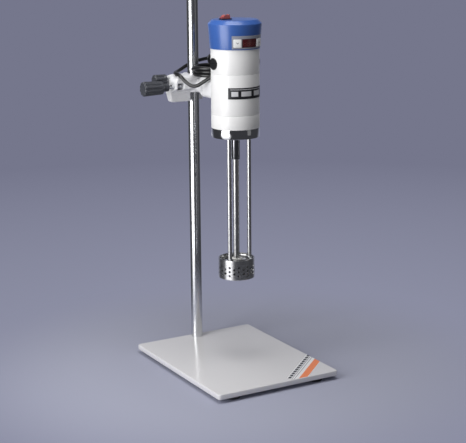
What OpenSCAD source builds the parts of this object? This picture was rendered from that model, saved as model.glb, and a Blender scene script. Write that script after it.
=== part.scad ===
// Bench rotor stator homogenizer on a plate stand with a round column.
// Millimetres, +Z up. The origin is on the bench under the middle of the base plate;
// -Y is the front, where the control face looks, and the column stands at the back.

/* [Base plate] */
// Width of the base plate, side to side
base_w = 262; // [230:1:320]
// Depth of the base plate, front to back
base_d = 342; // [320:1:400]
// Thickness of the base plate
plate_t = 10; // [8:0.5:14]
// Radius of the base plate's corners
plate_corner = 6; // [2:0.5:14]
// Height of the rubber feet
foot_h = 8; // [7:0.5:14]
// Diameter of a rubber foot
foot_d = 36; // [28:1:44]
// Distance of a foot's centre from the plate's side edge
foot_side = 40; // [30:1:55]
// Distance of a foot's centre from the plate's front or back edge
foot_end = 24; // [23:1:45]

/* [Column] */
// Diameter of the column
col_d = 23; // [20:0.5:26]
// Length of the column above the plate
col_len = 800; // [700:10:1000]
// Distance of the column's axis from the plate's back edge
col_inset = 13.5; // [13:0.5:25]

/* [Clamp] */
// Distance between the column's axis and the motor's axis
reach = 168; // [160:1:185]
// Diameter of the arm rod held in the clamp
rod_d = 16; // [14:0.5:18]
// Wall of the clamp casting round the column
clamp_wall = 9.5; // [8:0.5:10]
// Depth of the clamp below the arm rod's axis
clamp_drop = 32; // [28:1:36]
// Diameter of a clamp screw
clamp_screw_d = 8; // [6:0.5:9]
// Length of the arm knob's grip
arm_knob_len = 42; // [36:1:52]
// Diameter of the arm knob at its free end
arm_knob_d = 29; // [24:1:30]
// Length of the column knob's grip
col_knob_len = 26; // [20:1:32]
// Diameter of the column knob
col_knob_d = 24; // [20:1:24]

/* [Motor] */
// Diameter of the motor housing
motor_d = 92; // [86:1:100]
// Wall of the motor housing
motor_wall = 5; // [4:0.5:6]
// Height of the lower housing
low_h = 26; // [24:1:32]
// Height of the middle housing, which holds the field
mid_h = 77; // [70:1:90]
// Height of the upper housing, which holds the brushes
up_h = 46.5; // [44:0.5:56]
// Height of the polished flange ring under the motor
ring_h = 18; // [14:1:24]
// Height of the control cap
cap_h = 53.5; // [48:0.5:62]
// How far the control cap's foot stands out past the housing
cap_lip = 1.1; // [0.5:0.1:2]
// How much wider the control cap gets, measured on its radius
cap_flare = 3.4; // [1:0.1:5]
// Radius of the control cap's top edge
cap_round = 8; // [4:0.5:12]
// Wall of the control cap
cap_wall = 2.5; // [2:0.1:3]
// Diameter of the motor shaft
motor_shaft_d = 10; // [8:0.5:11]
// Turn of the control face from the arm's line, in degrees
face_turn = 5; // [-8:1:8]

/* [Working head] */
// Distance from the stator head's lower edge to the flange ring
immersion = 276; // [220:2:320]
// Distance of the stator head's lower edge above the base plate
head_clear = 169; // [155:1:220]
// Outer diameter of the stator head
head_d = 70; // [66:1:80]
// Height of the stator head
head_h = 39; // [36:1:48]
// Wall of the stator screen
screen_wall = 2; // [1.5:0.1:3]
// Running gap between the rotor and the screen
rotor_gap = 0.5; // [0.3:0.1:1]
// Height of the rotor's blades
blade_h = 17; // [12:1:18]
// Thickness of a rotor blade
blade_t = 3; // [2:0.5:4]
// Number of rotor blades
blade_n = 4; // [3:1:6]
// Diameter of a hole in the screen
hole_d = 4.5; // [3:0.1:5]
// Number of hole columns round the screen
hole_cols = 24; // [12:2:28]
// Distance between two holes in a column
hole_pitch = 8; // [7:0.5:9]
// Diameter of a support rod
stay_d = 8; // [6:0.5:9]
// Radius of the circle that the support rods stand on
stay_circle = 25; // [24:0.5:26]
// Diameter of the drive shaft
shaft_d = 12; // [10:0.5:13]
// Diameter of the shaft coupling
coupling_d = 16; // [15:0.5:18]

/* [Mains cord] */
// Diameter of the mains cord
cord_d = 7; // [6:0.5:7.5]

/* [Hidden] */
$fn = 96;

fit = 0.05;          // radial clearance of a shaft or screw in its hole
seat = 0.1;          // clearance of a piece pressed in or set in its seat
rest = 0.3;          // clearance between soft or moving faces
over = 1;            // how far a cut runs past a face

// Heights, from the bench up
z_plate = foot_h + plate_t;
z_head = z_plate + head_clear;
z_rim = z_head + head_h;
z_ring = z_head + immersion;
z_low = z_ring + ring_h;
z_mid = z_low + low_h;
z_up = z_mid + mid_h;
z_cap = z_up + up_h;
z_top = z_cap + cap_h;
z_arm = z_mid + mid_h / 2;
z_brush = z_up + 19;

// Places in plan
col_y = base_d / 2 - col_inset;
motor_y = col_y - reach;
foot_x = base_w / 2 - foot_side;
foot_y = base_d / 2 - foot_end;

col_r = col_d / 2;
rod_r = rod_d / 2;
motor_r = motor_d / 2;
motor_in = motor_r - motor_wall;
head_r = head_d / 2;
screen_in = head_r - screen_wall;
shaft_r = shaft_d / 2;
coupling_r = coupling_d / 2;
stay_r = stay_d / 2;
m_shaft_r = motor_shaft_d / 2;

// Base details
foot_recess_r = 8;
foot_recess_h = 4;
foot_screw_r = 2.5;
foot_thread = 6;
col_bolt_r = 5;
col_bolt_head_r = 9;
col_bolt_head_h = 6;
col_thread = 30;
col_cap_h = 5;

// Clamp casting
arm_h = 42;
arm_t = 20;
clamp_top = z_arm + arm_h / 2;
clamp_bot = z_arm - clamp_drop;
clamp_r = col_r + clamp_wall;
clamp_depth = 52;
clamp_y1 = col_y + 14.5;
clamp_y0 = clamp_y1 - clamp_depth;
socket_r = rod_r + 7;
socket_len = 8;
socket_y = clamp_y0 - socket_len;
lobe_x = -58;
lobe_r = 15.5;
bar_h = 20.5;
bar_y0 = clamp_y1 - 30;
bar_y1 = clamp_y1 - 17;
knuckle_round = 10;
window_x0 = -54;
window_x1 = -40;
window_h = 13.5;
arm_screw_y = col_y - 25.5;
col_screw_z = z_arm + 11;
screw_r = clamp_screw_d / 2;
knob_gap = 10;
knob_hub_len = 15;
arm_knob_x = lobe_x - knob_gap - knob_hub_len;
col_knob_x = lobe_x - 4;
rod_gap = 2.5;
rod_y1 = col_y - col_r - rod_gap;

// Motor arm
arm_shoulder = socket_y - 0.5;
arm_collar = 12;
rod_y0 = arm_shoulder - 34;
saddle_w = 44;
saddle_h = 42;
saddle_t = 8;
bolt_dx = 16;
bolt_dz = 15;
arm_bolt_r = 2.5;

// Control cap
cap_r0 = motor_r + cap_lip;
cap_side = cap_h - cap_round - 1.2;
cap_r1 = cap_r0 + cap_flare;
panel_z0 = z_cap + 1.5;
panel_z1 = z_cap + 26;
panel_half = 42;
panel_t = 1.2;
window_half = 18.8;
button_turn = 29.3;
button_w = 15;
button_z = z_cap + 12.2;
button_out = 1.6;
switch_x = -20;
switch_w = 21;
switch_d = 15;

// Motor inside
core_z0 = z_mid + 16;
core_h = 42;
bore_r = 21.5;
bearing_r = 11;
bearing_h = 7;
seam = 0.6;
comm_r = 13;
comm_h = 18;
ledge_w = 2.4;

// Brush gear, fan and nameplate
brush_cap_r = 11;
brush_cap_out = 2;
brush_seat = 2.5;
holder_r = 6;
brush_w = 6;
brush_t = 8;
brush_len = 18;
fan_h = 10;
fan_hub_r = 9;
fan_disc_t = 1.8;
fan_blades = 11;
fan_blade_t = 1.6;
fan_r = motor_in - 6;
badge_half = 52;
badge_h = 21;
badge_drop = 6;
badge_t = 0.5;

// Working head
spider_t = 5;
spider_z = z_rim - 9;
ledge_t = 2;
ledge_in = screen_in - 2;
nut_r = 6.5;
nut_t = 5;
stay_angles = [90, 210, 330];
z_rotor = z_head + 4;
lip_t = 2.5;
hole_first = 14;
screw_head_h = 3;
coupling_drop = 44;
shaft_joint = 12;
shaft_top = z_ring - shaft_joint;

function cap_r(z) = cap_r0 + cap_flare * (z - z_cap) / cap_side;

// Moves a child to the motor's axis
module at_motor(z = 0) {
    translate([0, motor_y, z]) children();
}

// Turns a child so that its -Y looks the way the control face does
module facing(turn = 0) {
    at_motor() rotate([0, 0, face_turn + turn]) children();
}

// Cylinder along +X from x0 to x1
module rod_x(x0, x1, r) {
    translate([x0, 0, 0]) rotate([0, 90, 0]) cylinder(r = r, h = x1 - x0);
}

// Cylinder along +Y from y0 to y1
module rod_y(y0, y1, r) {
    translate([0, y0, 0]) rotate([-90, 0, 0]) cylinder(r = r, h = y1 - y0);
}

// Ring between two radii
module ring(r_out, r_in, h) {
    difference() {
        cylinder(r = r_out, h = h);
        translate([0, 0, -over]) cylinder(r = r_in, h = h + 2 * over);
    }
}

// Rectangle with round corners, made of exact arcs
module round_rect(w, d, r) {
    square([w - 2 * r, d], center = true);
    square([w, d - 2 * r], center = true);
    for (sx = [-1, 1], sy = [-1, 1])
        translate([sx * (w / 2 - r), sy * (d / 2 - r)]) circle(r = r, $fn = 48);
}

// ---- Stand ----

module at_feet() {
    for (sx = [-1, 1], sy = [-1, 1]) translate([sx * foot_x, sy * foot_y, 0]) children();
}

module base_plate() {
    color("#d9d6d2") difference() {
        translate([0, 0, foot_h]) linear_extrude(plate_t) round_rect(base_w, base_d, plate_corner);
        at_feet() translate([0, 0, foot_h - over])
            cylinder(r = foot_screw_r + fit, h = foot_thread + over, $fn = 32);
        translate([0, col_y, foot_h - over]) cylinder(r = col_bolt_r + fit, h = plate_t + 2 * over, $fn = 48);
    }
}

module rubber_feet() {
    color("#1b1b1d") at_feet() difference() {
        rotate_extrude() polygon([[0, 0], [foot_d / 2 - 2.5, 0], [foot_d / 2 - 1.5, 1],
            [foot_d / 2, foot_h], [0, foot_h]]);
        translate([0, 0, -over]) cylinder(r = foot_recess_r, h = foot_recess_h + over);
        cylinder(r = foot_screw_r + fit, h = foot_h + over, $fn = 32);
    }
}

module foot_screws() {
    color("#b9bcc0") at_feet() {
        translate([0, 0, 1.5]) difference() {
            cylinder(r = 4.6, h = foot_recess_h - 1.5, $fn = 48);
            translate([-5, -0.6, -over]) cube([10, 1.2, 1 + over]);
        }
        translate([0, 0, foot_recess_h])
            cylinder(r = foot_screw_r, h = foot_h - foot_recess_h + foot_thread - 0.5, $fn = 32);
    }
}

module column() {
    color("#d4d8dc") difference() {
        translate([0, col_y, z_plate]) rotate_extrude() polygon([[0, 0], [col_r, 0],
            [col_r, col_len - 1], [col_r - 1, col_len], [0, col_len]]);
        translate([0, col_y, z_plate - over]) cylinder(r = col_bolt_r + fit, h = col_thread + over, $fn = 48);
    }
}

module column_bolt() {
    color("#8f9499") translate([0, col_y, foot_h - col_bolt_head_h]) difference() {
        union() {
            cylinder(r = col_bolt_head_r, h = col_bolt_head_h);
            cylinder(r = col_bolt_r, h = col_bolt_head_h + plate_t + col_thread - 2, $fn = 48);
        }
        translate([0, 0, -over]) cylinder(r = 4.6, h = 4 + over, $fn = 6);
    }
}

module column_cap() {
    color("#232427") translate([0, col_y, z_plate + col_len]) rotate_extrude()
        polygon(concat([[0, 0], [col_r, 0]],
            [for (a = [0 : 15 : 90]) [col_r - 2 + 2 * cos(a), col_cap_h - 2 + 2 * sin(a)]],
            [[0, col_cap_h]]));
}

// ---- Clamp ----

// Side view of the clamp casting: a rounded knuckle for the two screws, a deep lower bar
// and a thin upper bar, with an open window between them. x is across, y is height.
module clamp_profile() {
    difference() {
        union() {
            translate([lobe_x + lobe_r, clamp_top - lobe_r]) circle(r = lobe_r);
            translate([lobe_x, clamp_bot + 4]) square([2 * lobe_r, clamp_top - lobe_r - clamp_bot - 4]);
            translate([lobe_x + 4, clamp_bot]) square([-lobe_x - 4, bar_h]);
            translate([lobe_x + 4, clamp_bot + 4]) circle(r = 4, $fn = 48);
            translate([lobe_x + lobe_r, clamp_top - 4.5]) square([-lobe_x - lobe_r, 4.5]);
            translate([window_x1, clamp_bot]) square([-window_x1, clamp_top - clamp_bot]);
        }
        translate([window_x0, z_arm - window_h / 2]) square([window_x1 - window_x0, window_h]);
    }
}

// Outline of the same casting seen along the knob screws: full depth at the knuckle, with its
// top edges rounded, and drawn in to the bar's depth below it. x is height, measured downwards,
// and y runs from front to back.
module knuckle_profile() {
    top = -clamp_top + knuckle_round;
    polygon([[top, clamp_y0], [screw_r - z_arm, clamp_y0], [-clamp_bot - bar_h, bar_y0],
        [-clamp_bot, bar_y0], [-clamp_bot, bar_y1], [screw_r - z_arm, clamp_y1], [top, clamp_y1],
        [-clamp_top, clamp_y1 - knuckle_round], [-clamp_top, clamp_y0 + knuckle_round]]);
    for (y = [clamp_y0 + knuckle_round, clamp_y1 - knuckle_round]) translate([top, y]) circle(r = knuckle_round);
}

module boss_head() {
    color("#e9e8ef") difference() {
        union() {
            intersection() {
                translate([0, clamp_y1, 0]) rotate([90, 0, 0]) linear_extrude(clamp_depth) clamp_profile();
                translate([lobe_x - over, 0, 0]) rotate([0, 90, 0])
                    linear_extrude(over - lobe_x) knuckle_profile();
            }
            translate([0, col_y, clamp_bot]) cylinder(r = clamp_r, h = clamp_top - clamp_bot);
            translate([0, 0, z_arm]) rod_y(socket_y, col_y, socket_r);
        }
        // the lower front is cut away, so that the casting hooks round the column from behind
        translate([-col_r - 3, clamp_y0 - clamp_depth, clamp_bot - over])
            cube([2 * clamp_r, col_y - clamp_y0 + clamp_depth, z_arm - socket_r - clamp_bot + over]);
        translate([0, col_y, clamp_bot - over])
            cylinder(r = col_r + fit, h = clamp_top - clamp_bot + 2 * over);
        translate([0, 0, z_arm]) rod_y(socket_y - over, rod_y1 + 0.5, rod_r + fit);
        translate([0, arm_screw_y, z_arm]) rod_x(lobe_x - over, 0, screw_r + fit);
        translate([0, col_y, col_screw_z]) rod_x(lobe_x - over, 0, screw_r + fit);
    }
}

// Tapered grip with finger flutes, along -X, its root at x = 0
module grip(len, d, taper, flutes) {
    rotate([0, -90, 0]) difference() {
        cylinder(r1 = d / 2 - taper, r2 = d / 2, h = len);
        for (i = [0 : flutes - 1]) rotate([0, 0, i * 360 / flutes])
            translate([d / 2 + 1.6, 0, len * 0.16]) cylinder(r = 3, h = len, $fn = 32);
    }
}

module arm_knob() {
    color("#44464d") translate([arm_knob_x, arm_screw_y, z_arm]) {
        difference() {
            grip(arm_knob_len, arm_knob_d, 1.5, 10);
            rod_x(-arm_knob_len + 16, over, screw_r + seat);
        }
        difference() {
            rod_x(0, knob_hub_len - 2, 8);
            rod_x(-over, knob_hub_len - 2 + over, screw_r + seat);
        }
    }
}

module arm_screw() {
    color("#aeb2b6") translate([0, arm_screw_y, z_arm])
        rod_x(arm_knob_x - arm_knob_len + 16, -rod_r - seat, screw_r);
}

module column_knob() {
    color("#55575e") translate([col_knob_x, col_y, col_screw_z]) {
        difference() {
            grip(col_knob_len, col_knob_d, 0.5, 8);
            rod_x(-col_knob_len + 8, over, screw_r + seat);
        }
    }
}

module column_screw() {
    color("#aeb2b6") translate([0, col_y, col_screw_z])
        rod_x(col_knob_x - col_knob_len + 8, -col_r - seat, screw_r);
}

// ---- Motor arm ----

module arm_rod() {
    color("#c3c7cb") translate([0, 0, z_arm]) rod_y(rod_y0, rod_y1, rod_r);
}

module at_arm_bolts() {
    for (sx = [-1, 1], sz = [-1, 1])
        translate([sx * bolt_dx, motor_y, z_arm + sz * bolt_dz]) children();
}

module motor_arm() {
    color("#eceaf0") difference() {
        union() {
            translate([0, arm_shoulder, z_arm]) rotate([90, 0, 0])
                linear_extrude(arm_shoulder - motor_y - motor_r) round_rect(arm_t, arm_h, arm_t / 2 - 0.01);
            translate([0, 0, z_arm]) rod_y(arm_shoulder - arm_collar, arm_shoulder, socket_r);
            translate([0, motor_y + motor_r + saddle_t, z_arm]) rotate([90, 0, 0])
                linear_extrude(2 * saddle_t) round_rect(saddle_w, saddle_h, 6);
        }
        at_motor(z_arm - arm_h) cylinder(r = motor_r + fit, h = 2 * arm_h, $fn = 180);
        translate([0, 0, z_arm]) rod_y(rod_y0, arm_shoulder + over, rod_r + seat);
        at_arm_bolts() rod_y(motor_r - motor_wall, motor_r + saddle_t + over, arm_bolt_r + seat, $fn = 32);
    }
}

module arm_bolts() {
    color("#8f9499") at_arm_bolts() {
        rod_y(motor_in - 1, motor_r + saddle_t, arm_bolt_r);
        difference() {
            rod_y(motor_r + saddle_t, motor_r + saddle_t + 5, 4.2);
            translate([0, motor_r + saddle_t + 2, 0]) rotate([-90, 0, 0])
                cylinder(r = 2.3, h = 5, $fn = 6);
        }
    }
}

// ---- Motor housing ----

// One white casting of the motor housing, with its edges broken where it meets the next
module shell(h, wall = motor_wall) {
    difference() {
        rotate_extrude($fn = 180) polygon([[motor_r - wall, 0], [motor_r - seam, 0], [motor_r, seam],
            [motor_r, h - seam], [motor_r - seam, h], [motor_r - wall, h]]);
        children();
    }
}

// Bearing bridge: a web across the housing with a seat for the bearing, open below
module bridge(z, shaft) {
    difference() {
        union() {
            translate([0, 0, z + bearing_h]) cylinder(r = motor_in + 0.5, h = 4);
            translate([0, 0, z]) cylinder(r = bearing_r + 4, h = bearing_h + 4);
        }
        translate([0, 0, z - over]) cylinder(r = bearing_r + fit, h = bearing_h + over);
        cylinder(r = shaft + 1, h = z + bearing_h + 4 + over);
        for (i = [0 : 5]) rotate([0, 0, 30 + i * 60]) translate([(motor_in + bearing_r + 4) / 2, 0, z])
            cylinder(r = 7, h = bearing_h + 4 + over, $fn = 48);
    }
}

module lower_housing() {
    color("#f3f2ef") at_motor(z_low) union() {
        shell(low_h);
        difference() {
            cylinder(r = motor_in + 0.5, h = 5);
            translate([0, 0, -over]) cylinder(r = m_shaft_r + 3.5, h = 5 + 2 * over);
        }
        translate([0, 0, 4.5]) ring(bearing_r + 4, bearing_r + fit, bearing_h + 0.5);
    }
}

module middle_housing() {
    color("#f3f2ef") at_motor(z_mid) {
        difference() {
            union() {
                shell(mid_h);
                ring(motor_in + 0.5, motor_in - ledge_w, core_z0 - z_mid);
            }
            for (sx = [-1, 1], sz = [-1, 1]) translate([sx * bolt_dx, 0, mid_h / 2 + sz * bolt_dz])
                rod_y(motor_in - 2, motor_r + over, arm_bolt_r + seat, $fn = 32);
        }
    }
}

module upper_housing() {
    color("#f3f2ef") at_motor(z_up) difference() {
        union() {
            shell(up_h);
            translate([0, 0, up_h - 0.5]) ring(cap_r(z_cap) - cap_wall - seat, motor_in, 3.5);
            bridge(up_h - bearing_h - 4 - 2, m_shaft_r);
            for (s = [0, 180]) rotate([0, 0, s]) difference() {
                translate([0, 0, z_brush - z_up]) rod_x(motor_in - 12, motor_in + 1, holder_r + 3);
                translate([0, 0, z_brush - z_up]) rod_x(motor_in - 13, motor_r, holder_r + fit);
            }
        }
        for (s = [0, 180]) rotate([0, 0, s]) translate([0, 0, z_brush - z_up]) {
            rod_x(motor_in - 1, motor_r + over, holder_r + fit);
            rod_x(motor_r - brush_seat, motor_r + over, brush_cap_r + seat);
        }
        translate([0, 0, 24]) rod_y(motor_in - 2, motor_r + over, 5 + seat);
    }
}

module flange_ring() {
    color("#d9dcdf") at_motor(z_ring) difference() {
        rotate_extrude($fn = 180) polygon([[coupling_r + 1, 0], [motor_r - 1.5, 0], [motor_r - 0.3, 1.2],
            [motor_r - 0.3, ring_h - 1], [motor_r - 1.3, ring_h], [coupling_r + 1, ring_h]]);
        for (a = stay_angles) rotate([0, 0, a]) translate([stay_circle, 0, -over])
            cylinder(r = stay_r + fit, h = ring_h - 5 + over, $fn = 48);
    }
}

// ---- Control cap ----

// Outline of the cap from its foot to the middle of its top, set in by a wall thickness
function cap_edge(w) = concat(
    [[cap_r0 - w, 0], [cap_r1 - w, cap_side]],
    [for (a = [15 : 15 : 90])
        [cap_r1 - cap_round + (cap_round - w) * cos(a) - 0.4 * a / 90,
            cap_side + 1.2 * a / 90 + (cap_round - w) * sin(a)]]);

// A band of the cap's side between two heights and two depths below the surface
module cap_band(z0, z1, half, d_in, d_out) {
    rotate([0, 0, -90 - half]) rotate_extrude(angle = 2 * half, $fn = 180) polygon([
        [cap_r(z0) - d_in, z0], [cap_r(z0) + d_out, z0], [cap_r(z1) + d_out, z1], [cap_r(z1) - d_in, z1]]);
}

// Square prism that looks out of the control face, between two distances from the axis
module face_block(turn, w, r0, r1) {
    facing(turn) translate([-w / 2, -r1, button_z - w / 2]) cube([w, r1 - r0, w]);
}

module control_cap() {
    color("#3f6fb8") difference() {
        at_motor(z_cap) rotate_extrude($fn = 180) difference() {
            polygon(concat([[0, 0]], cap_edge(0), [[0, cap_h]]));
            translate([0, -0.01]) polygon(concat([[0, 0]], cap_edge(cap_wall), [[0, cap_h - cap_wall]]));
        }
        facing() cap_band(panel_z0, panel_z1, panel_half, panel_t, 5);
        for (s = [-1, 1]) face_block(s * button_turn, button_w + 2 * rest, motor_in - 3, cap_r1 + 5);
        facing() cap_band(button_z - 5, button_z + 5, window_half - 5, cap_wall + 1, 1);
        translate([switch_x, motor_y, z_top - 5]) cube([switch_w - 1.6, switch_d - 1.6, 20], center = true);
    }
}

module control_panel() {
    color("#8f9096") difference() {
        facing() cap_band(panel_z0 + seat, panel_z1 - seat, panel_half - 0.15, panel_t - 0.05, 0.4);
        for (s = [-1, 1]) face_block(s * button_turn, button_w + 2 * rest, motor_in - 3, cap_r1 + 5);
        facing() cap_band(button_z - 8, button_z + 8, window_half, 3, 5);
    }
}

module display_window() {
    color("#3a1216") facing()
        cap_band(button_z - 8 + seat, button_z + 8 - seat, window_half - 0.15, panel_t - 0.05, 0.7);
}

// Square key with a retaining flange behind the cap's wall
module key(turn) {
    face = cap_r(button_z) + button_out;
    back = sqrt(pow(cap_r(button_z - button_w / 2) - cap_wall, 2) - pow(button_w / 2 + 1, 2)) - rest;
    face_block(turn, button_w, back - 1, face);
    face_block(turn, button_w + 2, back - 1.8, back);
}

module up_button() {
    color("#f4f4f4") key(button_turn);
}

module down_button() {
    color("#f4f4f4") key(-button_turn);
}

module control_board() {
    board_y = -motor_in + 11;
    board_z = z_cap + 2;
    color("#2c6b41") facing() {
        translate([-26, board_y, board_z]) cube([52, 1.6, 34]);
        translate([-15, board_y - 6, button_z - 6]) cube([30, 6.01, 12]);
        for (x = [-18, 6]) translate([x, board_y + 1.5, z_cap + 12]) rotate([-90, 0, 0])
            cylinder(r = 5, h = 12);
        translate([12, board_y + 1.5, z_cap + 10]) cube([10, 5, 14]);
        for (x = [-20, 20]) translate([x - 3, board_y, z_cap - 2]) cube([6, 5, 6]);
    }
}

module switch_frame() {
    color("#17181a") translate([switch_x, motor_y, z_top]) difference() {
        union() {
            linear_extrude(2) round_rect(switch_w, switch_d, 1.5);
            translate([-(switch_w - 2) / 2, -(switch_d - 2) / 2, -16]) cube([switch_w - 2, switch_d - 2, 16.5]);
            for (x = [-6, 0, 6]) translate([x - 0.4, -2.4, -24]) cube([0.8, 4.8, 9]);
        }
        translate([-(switch_w - 3.6) / 2, -(switch_d - 3.6) / 2, -9]) cube([switch_w - 3.6, switch_d - 3.6, 20]);
    }
}

module switch_rocker() {
    half = switch_w / 2 - 2.5;
    color("#d8452c") translate([switch_x, motor_y, z_top + 0.8]) rotate([0, -15, 0])
        rotate([90, 0, 0]) translate([0, 0, -(switch_d - 4.2) / 2]) linear_extrude(switch_d - 4.2) {
            circle(r = half);
            polygon([[-half, 0], [half, 0], [half, 6.5], [half / 2, 4.6], [0, 4], [-half / 2, 4.6], [-half, 6.5]]);
        }
}

module nameplate() {
    color("#3b3c40") facing() rotate([0, 0, -90 - badge_half]) rotate_extrude(angle = 2 * badge_half, $fn = 180)
        translate([motor_r + 0.02, z_arm - badge_drop]) square([badge_t, badge_h]);
}

// ---- Motor inside ----

module brush_caps() {
    color("#1a1a1c") for (s = [0, 180]) at_motor(z_brush) rotate([0, 0, s]) difference() {
        rod_x(motor_r - brush_seat, motor_r + brush_cap_out, brush_cap_r);
        translate([motor_r + brush_cap_out - 1.2, 3 - brush_cap_r, -1])
            cube([brush_cap_out + over, 2 * brush_cap_r - 6, 2]);
    }
}

module brush_holders() {
    color("#c9a24b") for (s = [0, 180]) at_motor(z_brush) rotate([0, 0, s]) difference() {
        rod_x(comm_r + 3, motor_r - brush_seat, holder_r);
        translate([comm_r, -brush_w / 2 - seat, -brush_t / 2 - seat])
            cube([motor_r, brush_w + 2 * seat, brush_t + 2 * seat]);
    }
}

module carbon_brushes() {
    color("#3a3a3c") for (s = [0, 180]) at_motor(z_brush) rotate([0, 0, s]) difference() {
        translate([comm_r - 1, -brush_w / 2, -brush_t / 2]) cube([brush_len, brush_w, brush_t]);
        translate([0, 0, -brush_t]) cylinder(r = comm_r + rest, h = 2 * brush_t);
    }
}

module field_core() {
    color("#6f7276") at_motor(core_z0) difference() {
        cylinder(r = motor_in - seat, h = core_h);
        translate([0, 0, -over]) cylinder(r = bore_r, h = core_h + 2 * over);
        for (s = [0, 180]) rotate([0, 0, s]) for (q = [-1, 1]) rotate([0, 0, q * 52])
            translate([bore_r + 4.5, -4, -over]) cube([11, 8, core_h + 2 * over]);
    }
}

module field_coils() {
    color("#b5602c") for (s = [0, 180], top = [0, 1])
        at_motor(core_z0 + (top ? core_h : -9)) rotate([0, 0, s - 58])
            rotate_extrude(angle = 116) translate([bore_r + 3, 0]) square([12, 9]);
}

module upper_bearing() {
    color("#c9cdd1") at_motor(z_cap - 6 - bearing_h) difference() {
        ring(bearing_r, m_shaft_r + fit, bearing_h);
        for (z = [-over, bearing_h - 0.6]) translate([0, 0, z]) ring(bearing_r - 2.2, m_shaft_r + 2, 0.6 + over);
    }
}

module lower_bearing() {
    color("#c9cdd1") at_motor(z_low + 5) difference() {
        ring(bearing_r, m_shaft_r + fit, bearing_h);
        for (z = [-over, bearing_h - 0.6]) translate([0, 0, z]) ring(bearing_r - 2.2, m_shaft_r + 2, 0.6 + over);
    }
}

module motor_shaft() {
    color("#c3c7cb") at_motor(shaft_top) cylinder(r = m_shaft_r, h = z_cap - 6.5 - shaft_top);
}

module armature_core() {
    color("#7d8084") at_motor(core_z0 + 1) difference() {
        cylinder(r = bore_r - 0.5, h = core_h - 2);
        translate([0, 0, -over]) cylinder(r = m_shaft_r + seat, h = core_h);
        for (i = [0 : 11]) rotate([0, 0, i * 30]) translate([bore_r - 7, -1.2, -over])
            cube([8, 2.4, core_h + over]);
    }
}

module armature_windings() {
    color("#b5602c") at_motor() for (top = [0, 1])
        translate([0, 0, top ? core_z0 + core_h - 1 : core_z0 + 1]) mirror([0, 0, top ? 0 : 1])
            rotate_extrude() polygon([[m_shaft_r + seat, 0], [bore_r - 7.5, 0], [bore_r - 6.5, 3],
                [bore_r - 9, 9], [m_shaft_r + seat, 11]]);
}

module commutator() {
    color("#b87333") at_motor(z_brush - comm_h / 2) difference() {
        ring(comm_r, m_shaft_r + seat, comm_h);
        for (i = [0 : 11]) rotate([0, 0, i * 30 + 7]) translate([comm_r - 1.5, -0.3, -over])
            cube([3, 0.6, comm_h + 2 * over]);
    }
}

module cooling_fan() {
    color("#26282b") at_motor(z_low + 5 + bearing_h + 2) {
        ring(fan_hub_r, m_shaft_r + seat, fan_h);
        ring(fan_r, fan_hub_r - 0.5, fan_disc_t);
        for (i = [0 : fan_blades - 1]) rotate([0, 0, i * 360 / fan_blades])
            translate([fan_hub_r - 0.5, -fan_blade_t / 2, fan_disc_t - 0.3])
                cube([fan_r - fan_hub_r, fan_blade_t, fan_h - 2]);
    }
}

// ---- Drive and working head ----

module shaft_coupling() {
    len = coupling_drop + ring_h - 2;
    color("#cfd3d7") at_motor(z_ring - coupling_drop) difference() {
        rotate_extrude() polygon([[0, 0], [coupling_r - 1, 0], [coupling_r, 1], [coupling_r, len], [0, len]]);
        translate([0, 0, -over]) cylinder(r = shaft_r + seat, h = coupling_drop - shaft_joint + over);
        translate([0, 0, coupling_drop - shaft_joint - over]) cylinder(r = m_shaft_r + seat, h = len);
        translate([0, -coupling_r - over, 12]) rotate([-90, 0, 0])
            cylinder(r = 2, h = coupling_r - shaft_r + over, $fn = 32);
    }
}

module drive_shaft() {
    color("#c9cdd1") at_motor(z_rotor + screw_head_h) cylinder(r = shaft_r, h = shaft_top - z_rotor - screw_head_h);
}

module at_stays() {
    for (a = stay_angles) at_motor() rotate([0, 0, a]) translate([stay_circle, 0, 0]) children();
}

module support_rods() {
    color("#d4d8dc") at_stays() {
        translate([0, 0, spider_z + spider_t]) cylinder(r = stay_r, h = z_ring + ring_h - 5 - spider_z - spider_t);
        translate([0, 0, spider_z - nut_t]) cylinder(r = stay_r - 1, h = nut_t + spider_t + 0.5, $fn = 48);
    }
}

module rod_nuts() {
    color("#b9bcc0") at_stays() {
        translate([0, 0, spider_z + spider_t]) difference() {
            cylinder(r = nut_r, h = nut_t, $fn = 6);
            translate([0, 0, -over]) cylinder(r = stay_r + seat, h = nut_t + 2 * over, $fn = 48);
        }
        translate([0, 0, spider_z - nut_t]) difference() {
            cylinder(r = nut_r - 1, h = nut_t, $fn = 6);
            translate([0, 0, -over]) cylinder(r = stay_r - 1 + seat, h = nut_t + 2 * over, $fn = 48);
        }
    }
}

// Perforated tube: columns of three holes stand between columns of two, half a pitch lower
module stator_screen() {
    color("#cfd3d7") at_motor(z_head) difference() {
        rotate_extrude($fn = 180) polygon([[screen_in - 6, 0], [head_r - 0.8, 0], [head_r, 0.8],
            [head_r, head_h - 0.6], [head_r - 0.6, head_h], [screen_in, head_h],
            [screen_in, spider_z - z_head], [ledge_in, spider_z - z_head],
            [ledge_in, spider_z - z_head - ledge_t + 0.8], [screen_in, spider_z - z_head - ledge_t - 1.2],
            [screen_in, lip_t], [screen_in - 6, lip_t]]);
        for (i = [0 : hole_cols - 1], j = [0 : (i % 2 == 0 ? 2 : 1)])
            rotate([0, 0, (i + 0.5) * 360 / hole_cols])
                translate([0, 0, head_h - hole_first - (j + (i % 2) / 2) * hole_pitch])
                    rod_x(screen_in - 3, head_r + over, hole_d / 2, $fn = 24);
    }
}

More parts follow.
